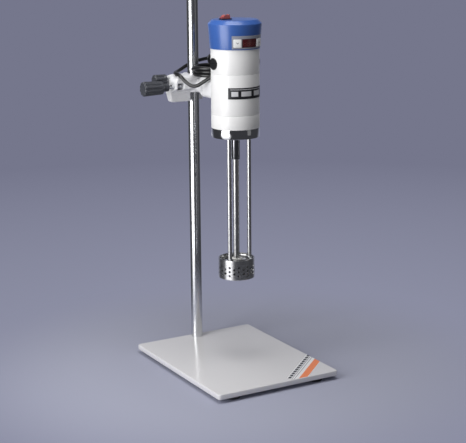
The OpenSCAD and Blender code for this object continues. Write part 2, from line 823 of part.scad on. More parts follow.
module stator_spider() {
    color("#c3c7cb") at_motor(spider_z) difference() {
        union() {
            ring(screen_in - seat, screen_in - 3.5, spider_t);
            cylinder(r = 13, h = spider_t);
            for (a = stay_angles) rotate([0, 0, a]) translate([8, -7, 0]) cube([screen_in - 10, 14, spider_t]);
        }
        translate([0, 0, -over]) cylinder(r = shaft_r + 3 + seat, h = spider_t + 2 * over);
        for (a = stay_angles) rotate([0, 0, a]) translate([stay_circle, 0, -over])
            cylinder(r = stay_r - 1 + seat, h = spider_t + 2 * over, $fn = 48);
    }
}

module shaft_bush() {
    color("#ece9e2") at_motor(spider_z - 2) difference() {
        union() {
            cylinder(r = shaft_r + 3, h = spider_t + 4);
            translate([0, 0, spider_t + 2]) cylinder(r = shaft_r + 5, h = 2);
        }
        translate([0, 0, -over]) cylinder(r = shaft_r + fit, h = spider_t + 4 + 2 * over);
    }
}

// Curved blades swept back from the hub, cut off at the running gap
module rotor_head() {
    tip = screen_in - rotor_gap;
    color("#b9bdc1") at_motor(z_rotor) difference() {
        union() {
            cylinder(r = shaft_r + 3.5, h = blade_h);
            cylinder(r = tip - 6, h = 2);
            linear_extrude(blade_h) intersection() {
                circle(r = tip);
                for (i = [0 : blade_n - 1]) rotate([0, 0, i * 360 / blade_n]) translate([tip * 0.52, 0])
                    difference() {
                        circle(r = tip * 0.52);
                        circle(r = tip * 0.52 - blade_t);
                        translate([-tip, 0]) square([2 * tip, tip]);
                    }
            }
        }
        translate([0, 0, -over]) cylinder(r = shaft_r + seat, h = blade_h + 2 * over);
    }
}

module rotor_screw() {
    color("#8f9499") at_motor(z_rotor) difference() {
        cylinder(r = shaft_r - seat, h = screw_head_h);
        translate([0, 0, -over]) cylinder(r = shaft_r / 2, h = screw_head_h - 1 + over, $fn = 6);
    }
}

// ---- Mains cord ----

relief_y0 = motor_y + motor_r - 3;
relief_y1 = 72;
relief_z = z_up + 24;
coil_x = 12;
coil_y = 96;
coil_mid = 5 * cord_d;
coil_in = coil_mid - cord_d;
coil_out = coil_mid + cord_d;
coil_z0 = clamp_top + rest;
coil_z1 = coil_z0 + 3 * cord_d;

// Route of the cord from its strain relief to the top turn of the coil
lead_route = [[0, relief_y1 + 0.3, relief_z], [0, 80, relief_z], [1, 90, relief_z - 2],
    [5, 101, relief_z - 7], [11, 110, relief_z - 13], [19, 116.5, relief_z - 19], [27, 119.5, relief_z - 23]];

// Route from the coil's bottom turn, down beside the arm, over the clamp and round the column
tail_route = [[-9, 65, coil_z0 + 3.5], [-16, 71, coil_z0 - 2], [-23, 79, coil_z0 - 10.5],
    [-30, 88, coil_z0 - 16.5], [-37, 98, coil_z0 - 16.5], [-44, 108, coil_z0 - 9], [-49.5, 117, coil_z0 + 0.5],
    [-51.5, 128, coil_z0 + 3.5], [-49, 140, coil_z0 + 3.8], [-43, 151, coil_z0 + 4], [-34, 161, coil_z0 + 4.2],
    [-25, 169, coil_z0 + 5.5], [-16, 174, coil_z0 + 8], [-7, 177.5, coil_z0 + 11.5], [3, 179, coil_z0 + 15.5],
    [14, 177, coil_z0 + 19.5], [24, 171, coil_z0 + 23], [32, 162, coil_z0 + 26], [38, 151, coil_z0 + 28.2],
    [41, 139, coil_z0 + 29], [41, 131, coil_z0 + 29], [41, 126, coil_z0 + 29]];

function unit(v) = v / norm(v);
function heading(p, i) = unit(p[min(i + 1, len(p) - 1)] - p[max(i - 1, 0)]);

// Ring of points round a route point; the ring stays upright along the whole route
function cord_ring(c, t, r, n) =
    let (side = unit(cross(t, [0, 0, 1])), up = cross(side, t))
    [for (k = [0 : n - 1]) c + r * (cos(k * 360 / n) * side + sin(k * 360 / n) * up)];

// Tube swept along a route
module cord_tube(route, r, n = 10) {
    rings = [for (i = [0 : len(route) - 1]) cord_ring(route[i], heading(route, i), r, n)];
    last = len(route) - 1;
    polyhedron(points = [for (q = rings) for (p = q) p],
        faces = concat([[for (k = [0 : n - 1]) n - 1 - k]],
            [for (i = [0 : last - 1], k = [0 : n - 1])
                [i * n + k, i * n + (k + 1) % n, (i + 1) * n + (k + 1) % n, (i + 1) * n + k]],
            [[for (k = [0 : n - 1]) last * n + k]]));
}

module strain_relief() {
    color("#1c1c1e") translate([0, 0, relief_z]) rotate([-90, 0, 0]) difference() {
        rotate_extrude() polygon([[0, relief_y0 - 2], [5, relief_y0 - 2], [5, relief_y0 + 3.5],
            [8, relief_y0 + 3.5], [8, relief_y0 + 6], [6.5, relief_y0 + 7],
            [cord_d / 2 + 1, relief_y1], [0, relief_y1]]);
        for (i = [0 : 4]) translate([0, 0, relief_y0 + 12 + i * 4]) ring(9, cord_d / 2 + 0.8, 1.4);
    }
}

module mains_cord() {
    color("#141415") cord_tube(lead_route, cord_d / 2);
}

module cord_coil() {
    color("#141415") translate([coil_x, coil_y, coil_z0]) ring(coil_out, coil_in, coil_z1 - coil_z0);
}

module cord_tie() {
    color("#2b2b2e") translate([coil_x, coil_y, (coil_z0 + coil_z1) / 2]) rotate([0, 0, -50])
        translate([coil_mid, 0, 0]) difference() {
            cube([2 * cord_d + 3.4, 4, 3 * cord_d + 3.4], center = true);
            cube([2 * cord_d + 0.8, 4 + over, 3 * cord_d + 0.8], center = true);
        }
}

module cord_tail() {
    color("#141415") cord_tube(tail_route, cord_d / 2);
}

module mains_plug() {
    end = tail_route[len(tail_route) - 1];
    color("#17171a") translate(end) rotate([90, 0, 0]) {
        rotate_extrude() polygon([[0, 0.1], [cord_d / 2 + 1, 0.1], [6.5, 10], [0, 10]]);
        difference() {
            translate([0, 0, 9]) linear_extrude(26) round_rect(30, 15.5, 5);
            translate([0, 14.75, 20]) rotate([0, 90, 0]) cylinder(r = 9, h = 60, center = true);
        }
        for (sx = [-1, 1]) translate([sx * 6.35 - 0.8, -3.2, 34.5]) cube([1.6, 6.4, 17]);
        translate([0, 0, 34.5]) cylinder(r = 2.4, h = 19, $fn = 32);
    }
}

base_plate();
rubber_feet();
foot_screws();
column();
column_bolt();
column_cap();
boss_head();
column_knob();
column_screw();
arm_knob();
arm_screw();
arm_rod();
motor_arm();
arm_bolts();
lower_housing();
middle_housing();
upper_housing();
flange_ring();
control_cap();
control_panel();
display_window();
control_board();
up_button();
down_button();
switch_frame();
switch_rocker();
nameplate();
brush_caps();
brush_holders();
carbon_brushes();
field_core();
field_coils();
upper_bearing();
lower_bearing();
motor_shaft();
armature_core();
armature_windings();
commutator();
cooling_fan();
shaft_coupling();
drive_shaft();
support_rods();
rod_nuts();
stator_screen();
stator_spider();
shaft_bush();
rotor_head();
rotor_screw();
strain_relief();
mains_cord();
cord_coil();
cord_tie();
cord_tail();
mains_plug();
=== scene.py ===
import math

import bmesh
import bpy
from mathutils import Matrix, Vector


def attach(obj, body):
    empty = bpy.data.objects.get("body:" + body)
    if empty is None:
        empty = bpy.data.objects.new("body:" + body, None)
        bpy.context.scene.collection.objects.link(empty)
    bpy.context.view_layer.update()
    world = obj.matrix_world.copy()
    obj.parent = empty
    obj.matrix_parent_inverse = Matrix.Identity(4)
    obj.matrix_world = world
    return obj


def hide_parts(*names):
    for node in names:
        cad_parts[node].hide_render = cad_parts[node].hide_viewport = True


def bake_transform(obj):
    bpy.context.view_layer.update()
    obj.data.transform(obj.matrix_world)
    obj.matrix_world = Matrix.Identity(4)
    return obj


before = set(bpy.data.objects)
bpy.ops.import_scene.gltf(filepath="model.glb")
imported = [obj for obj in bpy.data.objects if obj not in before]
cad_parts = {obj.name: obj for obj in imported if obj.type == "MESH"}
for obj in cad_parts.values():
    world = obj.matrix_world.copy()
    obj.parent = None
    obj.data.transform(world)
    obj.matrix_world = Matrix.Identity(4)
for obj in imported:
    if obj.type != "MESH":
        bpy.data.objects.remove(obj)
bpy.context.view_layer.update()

# ---- Camera ----
# It stands about 2.5 m off, to the left of the front, and looks down a little through a
# long lens, so that the column's top runs out of the picture.
azimuth, elevation, roll = (math.radians(a) for a in (-29.72, 13.32, -0.46))
towards_camera = Vector((
    math.sin(azimuth) * math.cos(elevation), -math.cos(azimuth) * math.cos(elevation), math.sin(elevation)
))
look = (-towards_camera).to_track_quat("-Z", "Y").to_matrix() @ Matrix.Rotation(roll, 3, "Z")
camera_data = bpy.data.cameras.new("view_camera")
camera_data.lens = 101.67
camera_data.sensor_width = 36.0
camera_data.clip_end = 60.0
camera = bpy.data.objects.new("view_camera", camera_data)
camera.matrix_world = Matrix.Translation((-1.23106, -2.15421, 0.88162)) @ look.to_4x4()
bpy.context.scene.collection.objects.link(camera)
bpy.context.scene.camera = camera
bpy.context.scene.view_settings.view_transform = "Standard"


# ---- Mains cord ----
# One round black PVC cord. It leaves the motor's strain relief, drops into a hank of
# about five and a half turns on top of the clamp, and its end loops round the column.
def piece(name, points, faces):
    """A mesh object from points in millimetres, welded, with its normals outward."""
    mesh = bpy.data.meshes.new(name)
    mesh.from_pydata([Vector(p) * 0.001 for p in points], [], faces)
    shape = bmesh.new()
    shape.from_mesh(mesh)
    bmesh.ops.remove_doubles(shape, verts=shape.verts, dist=2e-6)
    bmesh.ops.recalc_face_normals(shape, faces=shape.faces)
    shape.to_mesh(mesh)
    shape.free()
    obj = bpy.data.objects.new(name, mesh)
    bpy.context.scene.collection.objects.link(obj)
    return obj


def bake(obj):
    """Puts what an object's modifiers make of it in place of its mesh."""
    graph = bpy.context.evaluated_depsgraph_get()
    made = bpy.data.meshes.new_from_object(obj.evaluated_get(graph))
    obj.modifiers.clear()
    obj.data = made


def settle(obj, finish, body, stands_for=(), edge=0.0, sharp=35):
    """Rounds a piece's edges by edge millimetres, gives it its finish and hangs it on its body."""
    if edge:
        rounding = obj.modifiers.new("edges", "BEVEL")
        rounding.width = edge * 0.001
        rounding.segments = 3
        rounding.limit_method = "ANGLE"
        rounding.angle_limit = math.radians(38)
        rounding.use_clamp_overlap = True
        bake(obj)
    obj.data.materials.clear()
    obj.data.materials.append(finish)
    obj.data.polygons.foreach_set("use_smooth", [True] * len(obj.data.polygons))
    obj.data.set_sharp_from_angle(angle=math.radians(sharp))
    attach(obj, body)
    if stands_for:
        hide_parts(*stands_for)
    return obj


def feed(tree, node, inputs):
    """Gives a node's inputs plain values, outputs of other nodes, or nodes for their first output."""
    for key, value in inputs.items():
        if isinstance(value, bpy.types.Node):
            value = next(output for output in value.outputs if output.enabled)
        if isinstance(value, bpy.types.NodeSocket):
            tree.links.new(value, node.inputs[key])
        else:
            node.inputs[key].default_value = value
    return node


def add_node(tree, kind, inputs=None, **settings):
    """A new node in a tree with its settings and its inputs."""
    node = tree.nodes.new(kind)
    for label, value in settings.items():
        setattr(node, label, value)
    return feed(tree, node, inputs or {})


def maths(tree, operation, *values):
    """A maths node on its values, in order."""
    return add_node(tree, "ShaderNodeMath", dict(enumerate(values)), operation=operation)


def vectors(tree, operation, *values, **inputs):
    """A vector maths node on its values, in order, and on inputs by name."""
    inputs.update(enumerate(values))
    return add_node(tree, "ShaderNodeVectorMath", inputs, operation=operation)


def node_group(name, kind, inputs, outputs):
    """A node group with its input's outputs and its output node. A number makes a float input
    with that default; a word names the kind of socket."""
    group = bpy.data.node_groups.new(name, kind)
    for label, value in inputs.items():
        word = value if isinstance(value, str) else "Float"
        socket = group.interface.new_socket(name=label, in_out="INPUT", socket_type="NodeSocket" + word)
        if word != value:
            socket.default_value = value
    for label, word in outputs.items():
        group.interface.new_socket(name=label, in_out="OUTPUT", socket_type="NodeSocket" + word)
    return group, group.nodes.new("NodeGroupInput").outputs, group.nodes.new("NodeGroupOutput")


# Fine grain of a moulded, cast or sprayed surface, as a height.
fine_grain, taken, given = node_group(
    "grain", "ShaderNodeTree", {"Scale": 900.0, "Coarse Share": 0.3}, {"Height": "Float"})
place = add_node(fine_grain, "ShaderNodeTexCoord").outputs["Object"]
fine = add_node(fine_grain, "ShaderNodeTexNoise", {"Vector": place, "Scale": taken["Scale"], "Detail": 3.0})
coarse = add_node(fine_grain, "ShaderNodeTexNoise", {
    "Vector": place, "Scale": maths(fine_grain, "MULTIPLY", taken["Scale"], 0.2), "Detail": 2.0})
heights = add_node(fine_grain, "ShaderNodeMix", {"Factor": taken["Coarse Share"], "A": fine, "B": coarse})
feed(fine_grain, given, {"Height": heights})

# Handling marks: a roughness that drifts between two values in soft patches and faint wipes.
handling, taken, given = node_group(
    "handling", "ShaderNodeTree", {"Scale": 18.0, "Smooth": 0.2, "Rough": 0.35, "Wipe": 0.25},
    {"Roughness": "Float", "Mask": "Float"})
place = add_node(handling, "ShaderNodeTexCoord").outputs["Object"]
patches = add_node(handling, "ShaderNodeTexNoise", {"Vector": place, "Scale": taken["Scale"], "Detail": 4.0})
wipes = add_node(handling, "ShaderNodeTexNoise", {
    "Vector": vectors(handling, "MULTIPLY", place, (1.0, 1.0, 6.0)), "Scale": 55.0, "Detail": 5.0})
both = add_node(handling, "ShaderNodeMix", {"Factor": taken["Wipe"], "A": patches, "B": wipes})
firmer = add_node(handling, "ShaderNodeMapRange", {"Value": both, "From Min": 0.35, "From Max": 0.68})
between = add_node(handling, "ShaderNodeMapRange", {
    "Value": firmer, "To Min": taken["Smooth"], "To Max": taken["Rough"]})
feed(handling, given, {"Roughness": between, "Mask": firmer})


def finish_of(name, colour, smooth, rough, metallic=0.0, coat=0.0, grain=(900.0, 0.02), patch=18.0,
              wipe=0.25, shade=0.06):
    """A Principled finish with grain in its normal, of a scale and a depth in millimetres, and handling
    marks in its gloss and colour."""
    finish = bpy.data.materials.new(name)
    finish.use_nodes = True
    tree = finish.node_tree
    marks = add_node(tree, "ShaderNodeGroup", {
        "Scale": patch, "Smooth": smooth, "Rough": rough, "Wipe": wipe}, node_tree=handling)
    tone = add_node(tree, "ShaderNodeMix", {
        "Factor": marks.outputs["Mask"], "A": (*colour, 1.0),
        "B": (*(c * (1.0 - shade) for c in colour), 1.0)}, data_type="RGBA", name="tone")
    height = add_node(tree, "ShaderNodeGroup", {"Scale": grain[0]}, node_tree=fine_grain)
    bump = add_node(tree, "ShaderNodeBump", {
        "Strength": 0.6, "Distance": grain[1] * 0.001, "Height": height})
    feed(tree, tree.nodes["Principled BSDF"], {
        "Base Color": tone, "Metallic": metallic, "Roughness": marks.outputs["Roughness"],
        "Coat Weight": coat, "Coat Roughness": 0.06, "Normal": bump})
    return finish


def lofted(name, rows, ring=False, ends=True):
    """A skin through rows of equally many points, with a face at either end; a ring joins its last
    row to its first."""
    wide, count = len(rows[0]), len(rows)
    faces = [list(range(wide))[::-1], [(count - 1) * wide + k for k in range(wide)]] if ends else []
    for i in range(count if ring else count - 1):
        here, there = i * wide, (i + 1) % count * wide
        for k in range(wide):
            n = (k + 1) % wide
            faces.append((here + k, here + n, there + n, there + k))
    return piece(name, [p for row in rows for p in row], faces)


def circle_of(sides):
    """Cosines and sines of equal steps round a circle."""
    return [(math.cos(2 * math.pi * k / sides), math.sin(2 * math.pi * k / sides)) for k in range(sides)]


def tube(name, route, radius, sides=16):
    """A round closed tube along a route; its rings turn with the route, without twisting."""
    rows, side = [], None
    for i, here in enumerate(route):
        along = (route[min(i + 1, len(route) - 1)] - route[max(i - 1, 0)]).normalized()
        side = (along.orthogonal() if side is None else side - along * side.dot(along)).normalized()
        up = along.cross(side)
        rows.append([here + radius * (c * side + s * up) for c, s in circle_of(sides)])
    return lofted(name, rows)


def curve_through(stops, steps=8):
    """Points of a smooth curve through the stops."""
    stops = [Vector(p) for p in stops]
    stops = [2 * stops[0] - stops[1], *stops, 2 * stops[-1] - stops[-2]]
    line = []
    for a, b, c, d in zip(stops, stops[1:], stops[2:], stops[3:]):
        for k in range(steps):
            t = k / steps
            line.append(0.5 * (2 * b + (c - a) * t + (2 * a - 5 * b + 4 * c - d) * t * t
                               + (3 * b - a - 3 * c + d) * t ** 3))
    return [*line, stops[-2]]


cord_radius = 3.5
hank_x, hank_y, hank_top, hank_radius = 12, 96, 584.3, 29.5
hank_swell, layer_turn, first_angle = 11, 570, 57.4


def hank_point(travel):
    """A point of the hank after so many degrees clockwise: out, down, in, down and out again."""
    out = min(travel, layer_turn) / layer_turn
    back = min(max(travel - 660, 0), layer_turn) / layer_turn
    out_again = max(travel - 1330, 0) / layer_turn
    reach = hank_radius + hank_swell * (out - back + out_again)
    drop = 0.0
    for start, length in ((layer_turn, 90), (1230, 100)):
        done = min(max((travel - start) / length, 0), 1)
        drop += 2 * cord_radius * (1 - math.cos(math.pi * done)) / 2
    angle = math.radians(first_angle - travel)
    return Vector((hank_x + reach * math.cos(angle), hank_y + reach * math.sin(angle), hank_top - drop))


lead = [(0, 71.5, 608), (0, 80, 608), (1, 90, 606), (5, 101, 601), (11, 110, 595), (19, 116.5, 589)]
tail = [(-23, 79, 556.3), (-30, 88, 550.3), (-37, 98, 550.3), (-44, 108, 557.8), (-49.5, 117, 567.3),
        (-51.5, 128, 570.3), (-49, 140, 570.6), (-43, 151, 570.8), (-34, 161, 571), (-25, 169, 572.3),
        (-16, 174, 574.8), (-7, 177.5, 578.3), (3, 179, 582.3), (14, 177, 586.3), (24, 171, 589.8),
        (32, 162, 592.8), (38, 151, 595), (41, 139, 595.8), (41, 131, 595.8), (41, 126, 595.8)]
hank = [hank_point(12 * k) for k in range(2, 166)]
cord_line = curve_through(lead + [hank[0]])[:-1] + hank + curve_through([hank[-1]] + tail)[1:]
cord = tube("mains_cord_run", cord_line, cord_radius)
cord_pvc = finish_of("cord_pvc", (0.012, 0.012, 0.013), 0.28, 0.42, grain=(1600, 0.015), patch=40)
settle(cord, cord_pvc, "clamp", ("mains_cord", "cord_coil", "cord_tail"), sharp=60)
cord.parent = None
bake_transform(cord)


# The strain relief is a black rubber boot with ribs, held in the motor housing by a collar.
def turned(name, profile, centre=(0, 0, 0), axis="Z", sides=128, closed=False):
    """A turned solid from (radius, distance) stops; closed joins the last stop to the first."""
    order = {"Z": (0, 1, 2), "Y": (0, 2, 1), "X": (2, 0, 1)}[axis]
    rows = []
    for radius, h in profile:
        stops = [(radius * c, radius * s, h) for c, s in circle_of(sides)]
        rows.append([Vector([stop[k] for k in order]) + Vector(centre) for stop in stops])
    return lofted(name, rows, ring=closed, ends=False)


def end_with(group, geometry, taken, given):
    """Ends a geometry node group: instances made real, the finish put on, and out."""
    real = add_node(group, "GeometryNodeRealizeInstances", {"Geometry": geometry})
    coated = add_node(group, "GeometryNodeSetMaterial", {"Geometry": real, "Material": taken["Finish"]})
    feed(group, given, {"Geometry": coated})
    return group


def copies_tree(name, circle):
    """A geometry node group that repeats an object round a circle, or over a grid of two steps."""
    layout = {"Row Length": "Int", "Step": "Vector", "Row Step": "Vector"}
    if circle:
        layout = {"Radius": "Float", "First Angle": "Float", "Step Angle": "Float"}
    group, taken, given = node_group(name, "GeometryNodeTree", {
        "Copy": "Object", "Count": "Int", "Centre": "Vector", "Finish": "Material", **layout},
        {"Geometry": "Geometry"})
    index = add_node(group, "GeometryNodeInputIndex")
    if circle:
        turned_on = maths(group, "MULTIPLY", index, taken["Step Angle"])
        angle = maths(group, "ADD", taken["First Angle"], turned_on)
        offset = add_node(group, "ShaderNodeCombineXYZ", {
            "X": maths(group, "MULTIPLY", taken["Radius"], maths(group, "COSINE", angle)),
            "Y": maths(group, "MULTIPLY", taken["Radius"], maths(group, "SINE", angle))})
        heading = add_node(group, "ShaderNodeCombineXYZ", {"Z": angle})
    else:
        row = maths(group, "FLOOR", maths(group, "DIVIDE", index, taken["Row Length"]))
        in_row = maths(group, "SUBTRACT", index, maths(group, "MULTIPLY", row, taken["Row Length"]))
        offset = vectors(group, "ADD", vectors(group, "SCALE", taken["Step"], Scale=in_row),
                         vectors(group, "SCALE", taken["Row Step"], Scale=row))
        heading = (0.0, 0.0, 0.0)
    spots = add_node(group, "GeometryNodePoints", {
        "Count": taken["Count"], "Position": vectors(group, "ADD", taken["Centre"], offset)})
    source = add_node(group, "GeometryNodeObjectInfo", {"Object": taken["Copy"]}, transform_space="ORIGINAL")
    put = add_node(group, "GeometryNodeInstanceOnPoints", {
        "Points": spots, "Instance": source.outputs["Geometry"], "Rotation": heading})
    return end_with(group, put, taken, given)


def run_nodes(obj, group, values):
    """Runs a geometry node group on an object with inputs given by name, and bakes what it makes."""
    made = obj.modifiers.new(group.name, "NODES")
    made.node_group = group
    for item in group.interface.items_tree:
        if item.in_out == "INPUT" and item.name in values:
            made[item.identifier] = values[item.name]
    bake(obj)
    return obj


def repeat(name, group, copy, finish, values):
    """A new piece made of copies of a pattern object, which is then thrown away."""
    host = run_nodes(piece(name, [], []), group, {"Copy": copy, "Finish": finish, **values})
    bpy.data.objects.remove(copy)
    return host


copies_in_grid = copies_tree("copies_in_grid", False)
copies_on_circle = copies_tree("copies_on_circle", True)

boot_rubber = finish_of("boot_rubber", (0.014, 0.014, 0.015), 0.45, 0.62, grain=(1400, 0.03))
boot = turned("strain_relief_boot", [
    (0, 30.6), (4.9, 30.6), (4.9, 36), (7.4, 36), (8, 36.6), (8, 38), (7.4, 38.6), (6.3, 39.4), (5.4, 46),
    (4.6, 60), (4.3, 71.3), (3.9, 71.9), (0, 71.9)], centre=(0, 0, 608), axis="Y", sides=48)
settle(boot, boot_rubber, "motor_unit", ("strain_relief",), edge=0.25)
rib = turned("rib_pattern", [(3.6, -1.2), (5.5, -1.2), (6.0, -0.8), (6.0, 0.8), (5.5, 1.2), (3.6, 1.2)],
             axis="Y", sides=48, closed=True)
ribs = repeat("strain_relief_ribs", copies_in_grid, rib, boot_rubber, {
    "Count": 6, "Row Length": 6, "Centre": (0, 0.0455, 0.608), "Step": (0, 0.0042, 0)})
settle(ribs, boot_rubber, "motor_unit")


# The tie is a flat black nylon strap round the whole hank.
def rounded_outline(width, depth, corner, steps=6):
    """Points round a rectangle with round corners, centred on the origin."""
    line = []
    for sx, sy, first in ((1, 1, 0), (-1, 1, 90), (-1, -1, 180), (1, -1, 270)):
        for k in range(steps + 1):
            a = math.radians(first + 90 * k / steps)
            line.append((sx * (width / 2 - corner) + corner * math.cos(a),
                         sy * (depth / 2 - corner) + corner * math.sin(a)))
    return line


def strap(name, centre, heading, wide, high, thick, width, corner):
    """A flat strap bent to a rounded rectangle, standing across a heading in plan."""
    turn = Matrix.Rotation(heading, 3, "Z")
    rows = []
    for grow, across in ((0, -width / 2), (thick, -width / 2), (thick, width / 2), (0, width / 2)):
        outline = rounded_outline(wide + 2 * grow, high + 2 * grow, corner + grow)
        rows.append([turn @ Vector((x, across, z)) + Vector(centre) for x, z in outline])
    return lofted(name, rows, ring=True, ends=False)


tie_angle = math.radians(-50)
tie_reach = hank_radius + hank_swell / 2
tie_centre = (hank_x + tie_reach * math.cos(tie_angle), hank_y + tie_reach * math.sin(tie_angle),
              hank_top - 2 * cord_radius)
tie_nylon = finish_of("tie_nylon", (0.03, 0.03, 0.032), 0.3, 0.45, grain=(700, 0.02))
tie = strap("cord_tie_strap", tie_centre, tie_angle, 18.6, 21.8, 1.1, 4.6, 4.2)
settle(tie, tie_nylon, "clamp", ("cord_tie",), edge=0.2)


# ---- Plug ----
# A moulded black rewirable-size plug with waisted sides, ribs to pull it by and three
# metal pins: two flat ones and a round earth pin. It hangs at the cord's free end.
def block(name, low, high):
    """A box between two corners."""
    corners = [(x, y, z) for x in (low[0], high[0]) for y in (low[1], high[1]) for z in (low[2], high[2])]
    faces = [(0, 1, 3, 2), (4, 6, 7, 5), (0, 4, 5, 1), (2, 3, 7, 6), (0, 2, 6, 4), (1, 5, 7, 3)]
    return piece(name, corners, faces)


plug_x, plug_y, plug_z = tail[-1]
plug_black = finish_of("plug_black", (0.016, 0.016, 0.018), 0.35, 0.5, grain=(1200, 0.03))
plug_steps = (
    (0.1, 8.6, 8.6, 4.2), (5, 9.6, 9.2, 4.5), (8.6, 13.6, 12.4, 5.2), (10.5, 24, 14.6, 5.5),
    (13, 27, 15.2, 5.2), (18, 25, 15.2, 5.2), (23, 25.5, 15.2, 5.2), (28, 28.5, 15.4, 5.2),
    (33.4, 29.8, 15.4, 5), (35, 29, 14.6, 4.6))
plug = lofted("plug_body", [
    [(plug_x + x, plug_y - back, plug_z + z) for x, z in rounded_outline(width, depth, corner)]
    for back, width, depth, corner in plug_steps])
settle(plug, plug_black, "clamp", ("mains_plug",), edge=0.4, sharp=50)
pin_metal = finish_of("pin_metal", (0.74, 0.66, 0.5), 0.2, 0.34, metallic=1.0, grain=(600, 0.01))
pin = block("pin_pattern", (-0.8, -17, -3.2), (0.8, 0, 3.2))
pins = repeat("plug_flat_pins", copies_in_grid, pin, pin_metal, {
    "Count": 2, "Row Length": 2, "Centre": [v * 0.001 for v in (plug_x - 6.35, plug_y - 34.5, plug_z)],
    "Step": (0.0127, 0, 0)})
settle(pins, pin_metal, "clamp", edge=0.35)
earth = turned("plug_round_pin", [(0, 0), (2.4, 0), (2.4, -17.2), (1.7, -18.6), (0, -19)],
               centre=(plug_x, plug_y - 34.5, plug_z), axis="Y", sides=32)
settle(earth, pin_metal, "clamp")


# ---- Floor, lamps and air ----
# A plain floor that fades into a backdrop of its own colour, one tall soft lamp on the left,
# a faint one on the right and a wide one overhead. The room that metal mirrors is darker and holds a painted
# highlight low under the left lamp.
backdrop = (0.268, 0.278, 0.375, 1.0)
far_backdrop = (0.178, 0.184, 0.262, 1.0)
reaches = (250, 500, 800, 1200, 2000, 5000, 20000)
rays_out = 96
floor_points = [(0, 0, 0)] + [(reach * c, reach * s, 0) for reach in reaches for c, s in circle_of(rays_out)]
floor_faces = [(0, 1 + k, 1 + (k + 1) % rays_out) for k in range(rays_out)]
for inner in range(1, 1 + rays_out * (len(reaches) - 1), rays_out):
    for k in range(rays_out):
        n, outer = (k + 1) % rays_out, inner + rays_out
        floor_faces.append((inner + k, outer + k, outer + n, inner + n))
floor = piece("floor", floor_points, floor_faces)
floor_paint = bpy.data.materials.new("floor_paint")
floor_paint.use_nodes = True
tree = floor_paint.node_tree
tree.nodes.clear()
# Near the object the floor is matt and takes its shadow. Further out it glows like the
# backdrop for the camera, darkening further out as a painted falloff of light, and is clear for all other
# rays.
place = add_node(tree, "ShaderNodeTexCoord").outputs["Object"]
distance = vectors(tree, "LENGTH", place)
fade = add_node(tree, "ShaderNodeMapRange", {"Value": distance, "From Min": 0.25, "From Max": 0.62},
                interpolation_type="SMOOTHSTEP")
# Painted falloff of light: the glow goes from the backdrop colour to a darker one between 0.4 and 2.2 m out.
depth = add_node(tree, "ShaderNodeMapRange", {"Value": distance, "From Min": 0.4, "From Max": 2.2})
backdrop_painted_falloff = add_node(tree, "ShaderNodeMix", {
    "Factor": depth, "A": backdrop, "B": far_backdrop}, data_type="RGBA")
matt = add_node(tree, "ShaderNodeBsdfDiffuse", {"Color": (0.365, 0.375, 0.465, 1.0)})
glow = add_node(tree, "ShaderNodeEmission", {"Color": backdrop_painted_falloff})
nothing = add_node(tree, "ShaderNodeBsdfTransparent")
camera_ray = add_node(tree, "ShaderNodeLightPath").outputs["Is Camera Ray"]
far_look = add_node(tree, "ShaderNodeMixShader", {"Fac": camera_ray, 1: nothing, 2: glow})
whole = add_node(tree, "ShaderNodeMixShader", {"Fac": fade, 1: matt, 2: far_look})
add_node(tree, "ShaderNodeOutputMaterial", {"Surface": whole})
floor.data.materials.append(floor_paint)

air = bpy.data.worlds.new("air")
air.use_nodes = True
bpy.context.scene.world = air
tree = air.node_tree
tree.nodes.clear()
rays = add_node(tree, "ShaderNodeLightPath").outputs
heading = add_node(tree, "ShaderNodeTexCoord").outputs["Generated"]


def towards(way, low, high):
    """How far a ray of the air heads a way, eased from 0 at one cosine to 1 at another."""
    facing = vectors(tree, "DOT_PRODUCT", heading, way)
    return add_node(tree, "ShaderNodeMapRange", {"Value": facing, "From Min": low, "From Max": high},
                    interpolation_type="SMOOTHSTEP")


# Metal mirrors a dark studio, the backdrop behind the object and a painted highlight: a bright patch low
# under the lamp, seen only in reflections, that lights nothing.
around = add_node(tree, "ShaderNodeMix", {
    "Factor": towards(-towards_camera, 0.6, 1.0), "A": (0.045, 0.046, 0.052, 1.0),
    "B": (0.30, 0.31, 0.395, 1.0)}, data_type="RGBA")
# Painted highlight: a bright lobe of the air towards and below the left lamp, which only glossy rays see.
mirrored_with_painted_highlight = add_node(tree, "ShaderNodeMix", {
    "Factor": towards(Vector((-0.953, -0.19, -0.235)).normalized(), 0.88, 0.95),
    "A": around, "B": (1.0, 1.0, 1.05, 1.0)}, data_type="RGBA")
room = add_node(tree, "ShaderNodeBackground", {"Color": mirrored_with_painted_highlight})
soft = add_node(tree, "ShaderNodeBackground", {"Color": (0.95, 0.96, 1.0, 1.0), "Strength": 0.17})
seen = add_node(tree, "ShaderNodeBackground", {"Color": far_backdrop})
unseen = add_node(tree, "ShaderNodeMixShader", {"Fac": rays["Is Glossy Ray"], 1: soft, 2: room})
clear = maths(tree, "MAXIMUM", rays["Is Camera Ray"], rays["Is Transmission Ray"])
whole = add_node(tree, "ShaderNodeMixShader", {"Fac": clear, 1: unseen, 2: seen})
add_node(tree, "ShaderNodeOutputWorld", {"Surface": whole})

for label, where, aim, width, tall, power in (
    ("left_lamp", (-1.28, -0.25, 0.85), (0, -0.01, 0.85), 0.85, 1.66, 22.0),
    ("right_lamp", (1.1, -1.45, 0.75), (0, 0, 0.5), 0.6, 1.5, 0.4),
    ("top_lamp", (-0.25, -0.2, 2.1), (0, 0, 0.2), 1.15, 1.0, 20.0),
):
    lamp_data = bpy.data.lights.new(label, "AREA")
    lamp_data.shape = "RECTANGLE"
    lamp_data.size, lamp_data.size_y = width, tall
    lamp_data.energy = power
    lamp = bpy.data.objects.new(label, lamp_data)
    lamp.location = where
    lamp.rotation_euler = (Vector(aim) - Vector(where)).to_track_quat("-Z", "Y").to_euler()
    bpy.context.scene.collection.objects.link(lamp)


